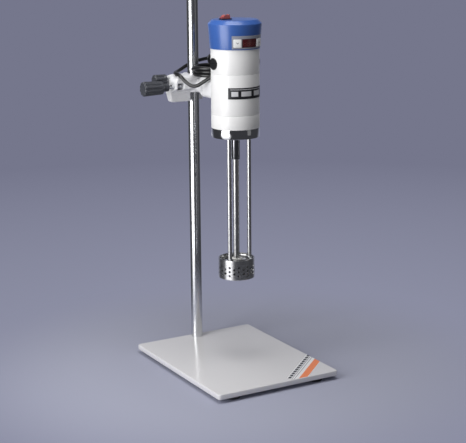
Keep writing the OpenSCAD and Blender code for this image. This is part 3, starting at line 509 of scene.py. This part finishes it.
# ---- Base plate ----
# A 10 mm steel plate, sprayed in a warm light grey, with eased edges. It stands on four
# round rubber feet, each held by a screw from below.
plate_top = 18
eased_edge = ((0.9, 8), (0.25, 8.25), (0, 8.9), (0, 16.7), (0.12, 17.2), (0.45, 17.65), (0.9, 17.92),
              (1.5, plate_top))
plate = lofted("base_plate_slab", [
    [(x, y, z) for x, y in rounded_outline(262 - 2 * inset, 342 - 2 * inset, 6 - inset, 8)]
    for inset, z in eased_edge])
plate_enamel = finish_of("plate_enamel", (0.69, 0.68, 0.69), 0.22, 0.26, coat=0.2, grain=(420, 0.01),
                         patch=5, wipe=0.0, shade=0.012)
settle(plate, plate_enamel, "stand_base", ("base_plate",), sharp=50)

foot_rubber = finish_of("foot_rubber", (0.02, 0.02, 0.021), 0.6, 0.8, grain=(900, 0.06))
foot = turned("foot_pattern", [
    (8, 0), (15.3, 0), (16.2, 0.35), (16.6, 1.2), (17.2, 4.4), (17.9, 7.2), (18, 8), (2.6, 8), (2.6, 4),
    (8, 4)], sides=72, closed=True)
feet = repeat("rubber_feet_set", copies_in_grid, foot, foot_rubber, {
    "Count": 4, "Row Length": 2, "Centre": (-0.091, -0.147, 0), "Step": (0.182, 0, 0),
    "Row Step": (0, 0.294, 0)})
settle(feet, foot_rubber, "stand_base", ("rubber_feet",))

# A paper label lies slantwise across the plate's right front corner: a white field with a
# broken dark rule, two thin grey rules and an orange band, printed with nothing else.
label_slant = math.radians(42)
label_start = Vector((22, -158, 0))
label_along = Vector((math.cos(label_slant), math.sin(label_slant), 0))
label_across = Vector((label_along.y, -label_along.x, 0))
label_corners = ((129.6, -62), (24, -157), (35.5, -169.6), (64, -169.6), (129.6, -110.5))
label = lofted("corner_label", [[(x, y, plate_top + z) for x, y in label_corners] for z in (-0.01, 0.14)])
label_uv = label.data.uv_layers.new(name="print")
for loop in label.data.loops:
    at = label.data.vertices[loop.vertex_index].co * 1000 - label_start
    label_uv.data[loop.index].uv = (at.dot(label_along) / 100, at.dot(label_across) / 100)
label_paper = finish_of("label_paper", (0.82, 0.82, 0.83), 0.3, 0.42, grain=(700, 0.02))
tree = label_paper.node_tree
print_map = add_node(tree, "ShaderNodeUVMap", uv_map="print")
printed = add_node(tree, "ShaderNodeSeparateXYZ", {0: print_map}).outputs
dash = maths(tree, "GREATER_THAN", maths(tree, "PINGPONG", printed["X"], 0.06), 0.016)
ink = tree.nodes["tone"]
orange, dark, grey = (0.84, 0.25, 0.10, 1.0), (0.03, 0.03, 0.04, 1.0), (0.28, 0.28, 0.31, 1.0)
for low, high, colour in (
    (0.225, 0.36, orange), (0.025, 0.085, dark), (0.10, 0.115, grey), (0.145, 0.16, grey),
):
    mask = maths(tree, "COMPARE", printed["Y"], (low + high) / 2, (high - low) / 2)
    if colour == dark:
        mask = maths(tree, "MULTIPLY", mask, dash)
    ink = add_node(tree, "ShaderNodeMix", {"Factor": mask, "A": ink, "B": colour}, data_type="RGBA")
feed(tree, tree.nodes["Principled BSDF"], {"Base Color": ink})
settle(label, label_paper, "stand_base")

zinc = finish_of("zinc", (0.62, 0.63, 0.64), 0.3, 0.45, metallic=1.0, grain=(500, 0.02))


# ---- Column ----
# A ground and chromed steel bar, screwed to the plate from below, with a black plastic
# cap pressed on its top.
def shown(node, finish):
    """Gives a CAD node that stays in sight its finish."""
    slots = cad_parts[node].data.materials
    slots.clear()
    slots.append(finish)


column_chrome = finish_of("column_chrome", (0.74, 0.75, 0.77), 0.22, 0.25, metallic=1.0,
                          grain=(120, 0.00004), patch=6, wipe=0.0, shade=0.02)
column_y = 157.5
column = turned("column_bar", [
    (0, plate_top), (11.5, plate_top), (11.5, 817), (11.2, 817.7), (10.5, 818), (0, 818)],
    centre=(0, column_y, 0))
settle(column, column_chrome, "stand_column", ("column",))
cap_plastic = finish_of("cap_plastic", (0.022, 0.022, 0.024), 0.35, 0.5, grain=(900, 0.03))
shown("column_cap", cap_plastic)
shown("column_bolt", zinc)
shown("foot_screws", zinc)


# ---- Clamp ----
# An aluminium casting, sprayed white, that hooks round the column from behind; its edges
# are soft from the mould. Two fluted plastic knobs clamp the column and the arm rod.
def cast_copy(name, node, voxel, rounds):
    """A copy of a CAD node with every edge softened, as in a sand casting under paint."""
    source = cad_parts[node].data.copy()
    shape = bmesh.new()
    shape.from_mesh(source)
    bmesh.ops.remove_doubles(shape, verts=shape.verts, dist=1e-5)
    shape.to_mesh(source)
    shape.free()
    source.materials.clear()
    obj = bpy.data.objects.new(name, source)
    bpy.context.scene.collection.objects.link(obj)
    skin = obj.modifiers.new("skin", "REMESH")
    skin.mode = "VOXEL"
    skin.voxel_size = voxel * 0.001
    ease = obj.modifiers.new("ease", "SMOOTH")
    ease.factor = 0.5
    ease.iterations = rounds
    bake(obj)
    return obj


cast_enamel = finish_of("cast_enamel", (0.88, 0.88, 0.90), 0.26, 0.42, coat=0.15, grain=(320, 0.12),
                        patch=22, shade=0.07)
clamp = cast_copy("clamp_casting", "boss_head", 0.8, 5)
settle(clamp, cast_enamel, "clamp", ("boss_head",), sharp=180)


def fluting_tree():
    """A geometry node group that presses finger flutes into a grip that lies along X."""
    group, taken, given = node_group("grip_flutes", "GeometryNodeTree", {
        "Geometry": "Geometry", "Axis Point": "Vector", "Flutes": "Int", "Depth": "Float", "Root X": "Float",
        "Run In": "Float", "Core Radius": "Float", "Full Radius": "Float", "Finish": "Material"},
        {"Geometry": "Geometry"})
    position = add_node(group, "GeometryNodeInputPosition")
    from_axis = vectors(group, "SUBTRACT", position, taken["Axis Point"])
    x, y, z = add_node(group, "ShaderNodeSeparateXYZ", {0: from_axis}).outputs
    wave = maths(group, "COSINE", maths(group, "MULTIPLY", maths(group, "ARCTAN2", z, y), taken["Flutes"]))
    groove = maths(group, "POWER", maths(group, "MULTIPLY_ADD", wave, 0.5, 0.5), 1.6)
    run = add_node(group, "ShaderNodeMapRange", {
        "Value": maths(group, "SUBTRACT", taken["Root X"], x),
        "From Min": maths(group, "MULTIPLY", taken["Run In"], 0.35), "From Max": taken["Run In"]},
        interpolation_type="SMOOTHSTEP")
    flat = add_node(group, "ShaderNodeCombineXYZ", {"Y": y, "Z": z})
    outer = add_node(group, "ShaderNodeMapRange", {
        "Value": vectors(group, "LENGTH", flat), "From Min": taken["Core Radius"],
        "From Max": taken["Full Radius"]})
    reach = maths(group, "MULTIPLY", outer, maths(group, "MULTIPLY", taken["Depth"], -1.0))
    pressed = maths(group, "MULTIPLY", maths(group, "MULTIPLY", groove, run), reach)
    moved = add_node(group, "GeometryNodeSetPosition", {
        "Geometry": taken["Geometry"],
        "Offset": vectors(group, "SCALE", vectors(group, "NORMALIZE", flat), Scale=pressed)})
    return end_with(group, moved, taken, given)


grip_flutes = fluting_tree()
knob_plastic = finish_of("knob_plastic", (0.052, 0.055, 0.066), 0.34, 0.5, grain=(800, 0.05))


def grip(name, root, centre_y, centre_z, length, r_root, r_end, flutes, depth):
    """A fluted grip along -X from its root, with a dished end and round edges."""
    stops = [(0, 0), (r_root - 1.4, 0), (r_root - 0.4, 0.4), (r_root, 1.4)]
    stops += [(r_root + (r_end - r_root) * t / 24, 1.4 + (length - 4.4) * t / 24) for t in range(1, 25)]
    stops += [(r_end - 0.25, length - 1.9), (r_end - 0.9, length - 0.8), (r_end - 2.0, length - 0.2),
              (r_end - 3.4, length), (r_end - 5.2, length - 0.7), (0, length - 1.0)]
    axis_point = Vector((0, centre_y, centre_z))
    knob = turned(name, [(r, root - x) for r, x in stops], centre=axis_point, axis="X", sides=180)
    return run_nodes(knob, grip_flutes, {
        "Axis Point": [v * 0.001 for v in axis_point], "Flutes": flutes, "Depth": depth * 0.001,
        "Root X": root * 0.001, "Run In": 0.007, "Core Radius": 0.006, "Full Radius": 0.011,
        "Finish": knob_plastic})


arm_screw_y, arm_z = 132, 545.5
arm_grip = grip("arm_knob_grip", -83, arm_screw_y, arm_z, 42, 13, 14.5, 10, 1.7)
settle(arm_grip, knob_plastic, "arm_grip", ("arm_knob",), sharp=50)
arm_neck = turned("arm_knob_neck", [(4.1, -83.5), (8, -83.5), (8, -70.6), (7.4, -70), (4.1, -70)],
                  centre=(0, arm_screw_y, arm_z), axis="X", sides=64, closed=True)
settle(arm_neck, knob_plastic, "arm_grip")
column_grip = grip("column_knob_grip", -62, column_y, 556.5, 26, 11.5, 12, 8, 1.5)
settle(column_grip, knob_plastic, "column_grip", ("column_knob",), sharp=50)
bright_steel = finish_of("bright_steel", (0.66, 0.67, 0.69), 0.14, 0.26, metallic=1.0, grain=(400, 0.008),
                         patch=30)
shown("arm_screw", bright_steel)
shown("column_screw", bright_steel)


# ---- Arm ----
# A short steel rod, ground bright, joins the clamp to a flat cast arm with a saddle that
# four socket screws hold to the motor's back.
arm_casting = cast_copy("arm_casting", "motor_arm", 0.8, 5)
settle(arm_casting, cast_enamel, "motor_unit", ("motor_arm",), sharp=180)
shown("arm_rod", bright_steel)
socket_screw = turned("socket_screw_pattern", [
    (0, -12), (2.5, -12), (2.5, 0), (3.9, 0), (4.2, 0.4), (4.2, 4.4), (3.7, 5), (2.5, 5), (2.2, 4.6),
    (2.2, 2), (0, 2)], axis="Y", sides=48)
socket_screws = repeat("arm_screws_set", copies_in_grid, socket_screw, bright_steel, {
    "Count": 4, "Row Length": 2, "Centre": (-0.016, 0.0435, 0.5305), "Step": (0.032, 0, 0),
    "Row Step": (0, 0, 0.03)})
settle(socket_screws, bright_steel, "motor_unit", ("arm_bolts",))


# ---- Motor housing ----
# Three turned aluminium castings under one gloss white enamel; they meet in fine seams.
# Below them sits a thick polished steel flange ring.
# The motor's axis in plan, in millimetres and, for nodes and transforms, in metres.
motor_axis = Vector((0, -10.5, 0))
axis_in_metres = Vector((0, -0.0105, 0))


def housing_shell(name, low, high):
    """One casting of the housing, a short tube with eased outer edges."""
    outer, bore, ease = 46, 41, 0.55
    stops = [(bore, low), (outer - ease, low)]
    for middle, angles in ((low + ease, (-60, -30, 0)), (high - ease, (0, 30, 60, 90))):
        for a in (math.radians(angle) for angle in angles):
            stops.append((outer - ease + ease * math.cos(a), middle + ease * math.sin(a)))
    return turned(name, stops + [(bore, high)], centre=motor_axis, sides=192, closed=True)


housing_enamel = finish_of("housing_enamel", (0.82, 0.815, 0.815), 0.3, 0.4, coat=0.1, grain=(260, 0.02),
                           patch=14, shade=0.035)
for part, low, high in (("lower", 481, 507), ("middle", 507, 584), ("upper", 584, 630.5)):
    shell = housing_shell(part + "_shell", low, high)
    settle(shell, housing_enamel, "motor_unit", (part + "_housing",))
mirror_steel = finish_of("mirror_steel", (0.78, 0.79, 0.80), 0.07, 0.12, metallic=1.0, grain=(120, 0.0005),
                         patch=16, shade=0.03)
flange = turned("flange_ring_turned", [
    (9, 463), (44.6, 463), (45.3, 463.3), (45.7, 464.1), (45.7, 480), (45.3, 480.8), (44.4, 481), (9, 481)],
    centre=motor_axis, sides=192, closed=True)
settle(flange, mirror_steel, "motor_unit", ("flange_ring",))
brush_plastic = finish_of("brush_plastic", (0.014, 0.014, 0.015), 0.25, 0.4, grain=(1000, 0.03))
shown("brush_caps", brush_plastic)


# ---- Control cap ----
# A moulded blue ABS cap over the electronics, a little wider at its top. A grey panel with
# a red window and two white keys is let into its front; the rocker switch is on its top.
cap_foot = 630.5
front_turn = 5


def cap_radius(z):
    """The cap's outer radius, which widens evenly upwards."""
    return 47.1 + 3.4 * (z - cap_foot) / 44.3


def curved_sheet(name, radius_at, thick, half_angle, z_low, z_high, holes=(), face=front_turn, across=48,
                 up=24):
    """A sheet bent round the motor's axis with its outer face at radius_at(z), minus square holes.
    Holes are (angle, half angle, low, high) in degrees and millimetres."""
    spread = sorted({*[-half_angle + 2 * half_angle * k / across for k in range(across + 1)],
                     *[a + s * h for a, h, _, _ in holes for s in (-1, 1)]})
    rise = sorted({*[z_low + (z_high - z_low) * k / up for k in range(up + 1)],
                   *[z for _, _, low, high in holes for z in (low, high)]})
    points = []
    for depth in (0, thick):
        for z in rise:
            for a in spread:
                turn = math.radians(a + face - 90)
                r = radius_at(z) - depth
                points.append((r * math.cos(turn), motor_axis.y + r * math.sin(turn), z))
    wide, skin = len(spread), len(spread) * len(rise)

    def kept(i, j):
        """Says whether the sheet has its small square in row i and column j."""
        if not (0 <= i < len(rise) - 1 and 0 <= j < wide - 1):
            return False
        a, z = (spread[j] + spread[j + 1]) / 2, (rise[i] + rise[i + 1]) / 2
        return not any(abs(a - t) < h and low < z < high for t, h, low, high in holes)

    faces = []
    for i in range(len(rise) - 1):
        for j in range(wide - 1):
            if not kept(i, j):
                continue
            a, b, c, d = i * wide + j, i * wide + j + 1, (i + 1) * wide + j + 1, (i + 1) * wide + j
            faces += [(a, b, c, d), (a + skin, d + skin, c + skin, b + skin)]
            for row, step, p, q in ((i - 1, j, a, b), (i, j + 1, b, c), (i + 1, j, c, d), (i, j - 1, d, a)):
                if not kept(row, step):
                    faces.append((p, p + skin, q + skin, q))
    return piece(name, points, faces)


cap_blue = finish_of("cap_blue", (0.044, 0.12, 0.40), 0.28, 0.36, coat=0.12, grain=(700, 0.02), patch=16,
                     shade=0.08)
cap_stops = [(0, 681.5), (42, 681.5), (47.5, 674), (44.6, cap_foot)]
cap_stops += [(cap_radius(cap_foot + h), cap_foot + h) for h in (0, 0.4, 6, 12, 20, 28, 36, 44.3)]
cap_stops += [(50.5, 676.0), (50.3, 676.7), (49.8, 677.2), (43.9, 682.9), (43.2, 683.4), (42.1, 683.8),
              (40, 684), (30, 684), (0, 684)]
cap_shell = turned("control_cap_shell", cap_stops, centre=motor_axis, sides=192)
cutters = [curved_sheet("panel_cutter", lambda z: cap_radius(z) + 3, 6.5, 42, 632, 656.5),
           block("switch_cutter", (-29.8, -17.3, 670), (-10.2, -3.7, 690))]
for cutter in cutters:
    cut = cap_shell.modifiers.new("cut", "BOOLEAN")
    cut.operation = "DIFFERENCE"
    cut.solver = "EXACT"
    cut.object = cutter
bake(cap_shell)
for cutter in cutters:
    bpy.data.objects.remove(cutter)
# Its flat faces are joined up again, so the rounding finds no slivers to follow.
shape = bmesh.new()
shape.from_mesh(cap_shell.data)
bmesh.ops.dissolve_limit(shape, angle_limit=math.radians(0.1), verts=shape.verts, edges=shape.edges)
shape.to_mesh(cap_shell.data)
shape.free()
settle(cap_shell, cap_blue, "motor_unit", ("control_cap",), edge=0.3)


def set_normals(obj, normal_at):
    """Gives an object's corners the normal that normal_at(face, vertex) returns, where it returns one."""
    normals = [Vector(corner.vector) for corner in obj.data.corner_normals]
    for face in obj.data.polygons:
        for loop in face.loop_indices:
            wanted = normal_at(face, obj.data.vertices[obj.data.loops[loop].vertex_index].co)
            if wanted:
                normals[loop] = wanted
    obj.data.normals_split_custom_set(normals)


def top_normal(face, co):
    """Keeps the flat top flat round the switch's opening, whose rounded edge would bend its shine."""
    on_top = face.normal.z > 0.999 and (co - axis_in_metres).xy.length < 0.0395
    return Vector((0, 0, 1)) if on_top else None


set_normals(cap_shell, top_normal)

key_low, key_high = 634.9, 650.5
key_half = math.degrees(7.8 / cap_radius((key_low + key_high) / 2))
panel_grey = finish_of("panel_grey", (0.30, 0.31, 0.37), 0.3, 0.42, grain=(900, 0.03), patch=30)
panel = curved_sheet("panel_sheet", lambda z: cap_radius(z) + 0.4, 3.6, 41.8, 632.2, 656.3, holes=(
    (-29.3, key_half, key_low, key_high), (29.3, key_half, key_low, key_high), (0, 18.8, 634.7, 650.7)))
settle(panel, panel_grey, "motor_unit", ("control_panel",), edge=0.3)
window_red = finish_of("window_red", (0.075, 0.012, 0.016), 0.05, 0.12, coat=0.6, grain=(300, 0.004))
window = curved_sheet("window_pane", lambda z: cap_radius(z) + 0.7, 3.0, 18.6, key_low, key_high)
settle(window, window_red, "motor_unit", ("display_window",), edge=0.35)

# Four unlit numerals show faintly in the window, each of seven bars.
bar_outline = ((-2.0, 0), (-1.5, 0.5), (1.5, 0.5), (2.0, 0), (1.5, -0.5), (-1.5, -0.5))
bar_points, bar_faces = [], []
for x, z, upright in ((0, 4.6, 0), (0, 0, 0), (0, -4.6, 0), (2.5, 2.3, 1), (-2.5, 2.3, 1), (2.5, -2.3, 1),
                      (-2.5, -2.3, 1)):
    first = len(bar_points)
    for depth in (0.0, 0.25):
        bar_points += [(depth, x + v, z + u) if upright else (depth, x + u, z + v) for u, v in bar_outline]
    bar_faces += [tuple(first + k for k in range(6)), tuple(first + 6 + k for k in range(6))[::-1]]
    bar_faces += [(first + k, first + (k + 1) % 6, first + 6 + (k + 1) % 6, first + 6 + k) for k in range(6)]
numeral_red = finish_of("numeral_red", (0.14, 0.03, 0.03), 0.25, 0.35, grain=(500, 0.01))
numeral = piece("numeral_pattern", bar_points, bar_faces)
numerals = repeat("window_numerals", copies_on_circle, numeral, numeral_red, {
    "Count": 4, "Centre": (0, -0.0105, 0.6427), "Radius": 0.0486,
    "First Angle": math.radians(front_turn - 90 - 13.2), "Step Angle": math.radians(8.8)})
settle(numerals, numeral_red, "motor_unit")

# The keys are white silicone, each with a dark arrowhead printed on it: up and down.
key_white = finish_of("key_white", (0.80, 0.80, 0.80), 0.4, 0.55, grain=(900, 0.03), patch=40)
mark_ink = finish_of("mark_ink", (0.03, 0.03, 0.035), 0.4, 0.5, grain=(900, 0.01))
mark_outline = ((-2.6, -1.6), (0, 1.4), (2.6, -1.6), (1.5, -1.6), (0, 0.1), (-1.5, -1.6))
mark_faces = [(0, 1, 4, 5), (1, 2, 3, 4), (11, 10, 7, 6), (10, 9, 8, 7)]
mark_faces += [(k, k + 6, (k + 1) % 6 + 6, (k + 1) % 6) for k in range(6)]
key_face = cap_radius((key_low + key_high) / 2) + 1.6
for way, turn, up in (("up", 29.3, 1), ("down", -29.3, -1)):
    key = block(way + "_key_cap", (-7.5, -key_face, 635.2), (7.5, -key_face + 8, 650.2))
    mark_points = [(x, -key_face + depth, 642.9 + up * z) for depth in (-0.06, 0.3) for x, z in mark_outline]
    mark = piece(way + "_key_cap_mark", mark_points, mark_faces)
    spin = Matrix.Rotation(math.radians(front_turn + turn), 4, "Z")
    for obj in (key, mark):
        obj.data.transform(Matrix.Translation(axis_in_metres) @ spin)
    settle(key, key_white, way + "_key", (way + "_button",), edge=1.1)
    settle(mark, mark_ink, way + "_key")

# The mains switch: a black frame snapped into the cap and a red rocker, tipped to one side.
rocker_red = finish_of("rocker_red", (0.40, 0.095, 0.085), 0.16, 0.26, coat=0.5, grain=(600, 0.01))
shown("switch_frame", brush_plastic)
shown("switch_rocker", rocker_red)


# ---- Nameplate ----
# A thin black anodised band round the housing's front with three blank silver fields and
# a silver rule above them.
plate_black = finish_of("plate_black", (0.028, 0.028, 0.032), 0.28, 0.4, metallic=0.3, grain=(500, 0.01))
field_silver = finish_of("field_silver", (0.68, 0.68, 0.70), 0.3, 0.42, metallic=0.15, grain=(600, 0.015))
band = curved_sheet("nameplate_band", lambda z: 46.5, 0.5, 52, 539.5, 560.5)
settle(band, plate_black, "motor_unit", ("nameplate",), edge=0.15)
for label, turn, half, low, high in (
    ("field_left", -36, 8, 544.6, 553.8), ("field_middle", -8, 13, 544.6, 553.8),
    ("field_right", 25, 12, 544.6, 553.8), ("rule_above", -2, 44, 556.9, 557.9),
):
    field = curved_sheet(label, lambda z: 46.62, 0.3, half, low, high, face=front_turn + turn, across=20,
                         up=4)
    settle(field, field_silver, "motor_unit", edge=0.05)


# ---- Motor inside ----
# The wound field, armature, commutator, fan, brushes and bearings; none of it shows while
# the housing is closed, so the CAD pieces stay as they are and only take their finishes.
lamination = finish_of("lamination", (0.25, 0.25, 0.26), 0.4, 0.55, metallic=0.8, grain=(1500, 0.05))
copper = finish_of("copper", (0.62, 0.24, 0.09), 0.25, 0.4, metallic=1.0, grain=(2000, 0.05))
brass = finish_of("brass", (0.72, 0.52, 0.22), 0.2, 0.35, metallic=1.0, grain=(500, 0.01))
carbon = finish_of("carbon", (0.03, 0.03, 0.032), 0.4, 0.6, grain=(900, 0.03))
board_green = finish_of("board_green", (0.03, 0.16, 0.06), 0.3, 0.45, grain=(500, 0.02))
for finish, nodes in (
    (lamination, ("field_core", "armature_core")), (brass, ("brush_holders",)),
    (copper, ("field_coils", "armature_windings", "commutator")),
    (carbon, ("carbon_brushes",)), (cap_plastic, ("cooling_fan",)),
    (bright_steel, ("upper_bearing", "lower_bearing", "motor_shaft")), (board_green, ("control_board",)),
):
    for node in nodes:
        shown(node, finish)


# ---- Drive shaft and support rods ----
# Three polished stainless rods carry the stator head, each with a nut above and below the
# spider; the shaft turns between them from a coupling under the flange ring.
stainless = finish_of("stainless", (0.66, 0.66, 0.66), 0.3, 0.37, metallic=1.0, grain=(300, 0.0001),
                      patch=14, wipe=0.0, shade=0.03)
three_rods = {"Count": 3, "Centre": axis_in_metres, "Radius": 0.025, "First Angle": math.radians(90),
              "Step Angle": math.radians(120)}
rod = turned("rod_pattern", [(0, 212), (2.6, 212), (3, 212.4), (3, 222), (4, 222), (4, 476), (0, 476)],
             sides=64)
rods = repeat("support_rods_set", copies_on_circle, rod, stainless, three_rods)
settle(rods, stainless, "motor_unit", ("support_rods",))
for label, low, corner, bore, stands_for in (
    ("upper_nuts", 222, 6.5, 4.05, ("rod_nuts",)), ("lower_nuts", 212, 5.5, 3.05, ()),
):
    nut = turned(label + "_pattern", [
        (bore, low), (corner - 0.7, low), (corner, low + 0.5), (corner, low + 4.5), (corner - 0.7, low + 5),
        (bore, low + 5)], sides=6, closed=True)
    nuts = repeat(label, copies_on_circle, nut, bright_steel, three_rods)
    settle(nuts, bright_steel, "motor_unit", stands_for, edge=0.2)
shaft = turned("drive_shaft_bar", [(0, 194), (6, 194), (6, 451), (0, 451)], centre=motor_axis, sides=96)
settle(shaft, stainless, "spindle", ("drive_shaft",))
coupling_steel = finish_of("coupling_steel", (0.34, 0.34, 0.36), 0.16, 0.28, metallic=1.0,
                           grain=(400, 0.01), patch=30)
coupling = turned("coupling_sleeve", [
    (6.1, 419), (7.2, 419), (7.8, 419.4), (8, 420.2), (8, 479), (6.1, 479)],
    centre=motor_axis, sides=96, closed=True)
settle(coupling, coupling_steel, "spindle", ("shaft_coupling",))


# ---- Stator head ----
# A thick perforated stainless screen on a three-armed spider with a PTFE bush. Inside it
# the rotor's swept blades run half a millimetre clear of the screen.
def perforating_tree():
    """A geometry node group that drills staggered columns of holes through a tube."""
    group, taken, given = node_group("perforate", "GeometryNodeTree", {
        "Geometry": "Geometry", "Centre": "Vector", "Columns": "Int", "Rows": "Int",
        "Top Row Height": "Float", "Pitch": "Float", "Hole Radius": "Float", "Wall Radius": "Float",
        "Finish": "Material"},
        {"Geometry": "Geometry"})
    index = add_node(group, "GeometryNodeInputIndex")
    column_number = maths(group, "FLOOR", maths(group, "DIVIDE", index, taken["Rows"]))
    row_number = maths(group, "SUBTRACT", index, maths(group, "MULTIPLY", column_number, taken["Rows"]))
    odd = maths(group, "MODULO", column_number, 2)
    angle = maths(group, "MULTIPLY", maths(group, "ADD", column_number, 0.5),
                  maths(group, "DIVIDE", 2 * math.pi, taken["Columns"]))
    drop = maths(group, "MULTIPLY", maths(group, "ADD", row_number, maths(group, "MULTIPLY", odd, 0.5)),
                 taken["Pitch"])
    offset = add_node(group, "ShaderNodeCombineXYZ", {
        "X": maths(group, "MULTIPLY", taken["Wall Radius"], maths(group, "COSINE", angle)),
        "Y": maths(group, "MULTIPLY", taken["Wall Radius"], maths(group, "SINE", angle)),
        "Z": maths(group, "SUBTRACT", taken["Top Row Height"], drop)})
    spots = add_node(group, "GeometryNodePoints", {
        "Count": maths(group, "MULTIPLY", taken["Columns"], taken["Rows"]),
        "Position": vectors(group, "ADD", taken["Centre"], offset)})
    outward = add_node(group, "ShaderNodeCombineXYZ", {"Y": math.pi / 2, "Z": angle})
    headed = add_node(group, "GeometryNodeStoreNamedAttribute", {
        "Geometry": spots, "Name": "heading", "Value": outward}, data_type="FLOAT_VECTOR")
    # An odd column has one hole fewer.
    left_out = maths(group, "GREATER_THAN", maths(group, "ADD", row_number, odd),
                     maths(group, "SUBTRACT", taken["Rows"], 0.5))
    kept = add_node(group, "GeometryNodeDeleteGeometry", {
        "Geometry": headed, "Selection": left_out}, domain="POINT")
    heading = add_node(group, "GeometryNodeInputNamedAttribute", {"Name": "heading"},
                       data_type="FLOAT_VECTOR")
    drill = add_node(group, "GeometryNodeMeshCylinder", {
        "Vertices": 28, "Depth": 0.008, "Radius": taken["Hole Radius"]})
    put = add_node(group, "GeometryNodeInstanceOnPoints", {
        "Points": kept, "Instance": drill, "Rotation": heading})
    drills = add_node(group, "GeometryNodeRealizeInstances", {"Geometry": put})
    cut = add_node(group, "GeometryNodeMeshBoolean", {
        "Mesh 1": taken["Geometry"], "Mesh 2": drills}, operation="DIFFERENCE", solver="EXACT")
    return end_with(group, cut, taken, given)


screen_steel = finish_of("screen_steel", (0.74, 0.74, 0.74), 0.24, 0.28, metallic=1.0, grain=(350, 0.0001),
                         patch=14, wipe=0.1, shade=0.03)
screen = turned("stator_screen_tube", [
    (27, 187), (34.2, 187), (34.75, 187.25), (35, 187.8), (35, 225.4), (34.8, 225.85), (34.4, 226),
    (33, 226), (33, 217), (31, 217), (31, 215.8), (33, 213.8), (33, 189.5), (27, 189.5)],
    centre=motor_axis, sides=144, closed=True)
run_nodes(screen, perforating_tree(), {
    "Centre": axis_in_metres, "Columns": 24, "Rows": 3, "Top Row Height": 0.212, "Pitch": 0.008,
    "Hole Radius": 0.00225, "Wall Radius": 0.034, "Finish": screen_steel})
settle(screen, screen_steel, "motor_unit", ("stator_screen",))


def cylinder_normal(face, co):
    """Gives the drilled walls the normals of a true cylinder, so the steel's reflections run straight."""
    outward = (face.center - axis_in_metres).xy.normalized().to_3d()
    facing = face.normal.dot(outward)
    if abs(facing) < 0.985 or face.center.z < 0.1896:
        return None
    return (co - axis_in_metres).xy.normalized().to_3d() * math.copysign(1, facing)


set_normals(screen, cylinder_normal)
ptfe = finish_of("ptfe", (0.80, 0.79, 0.76), 0.4, 0.55, grain=(500, 0.02))
shown("stator_spider", stainless)
shown("shaft_bush", ptfe)
# The rotor's steel is darker than its own colour, as painted shade, so the screen's holes look dark inside
# the head.
rotor_steel_painted_shade = finish_of("rotor_steel_painted_shade", (0.24, 0.24, 0.25), 0.35, 0.5, metallic=1.0, grain=(350, 0.004))
shown("rotor_head", rotor_steel_painted_shade)
shown("rotor_screw", bright_steel)
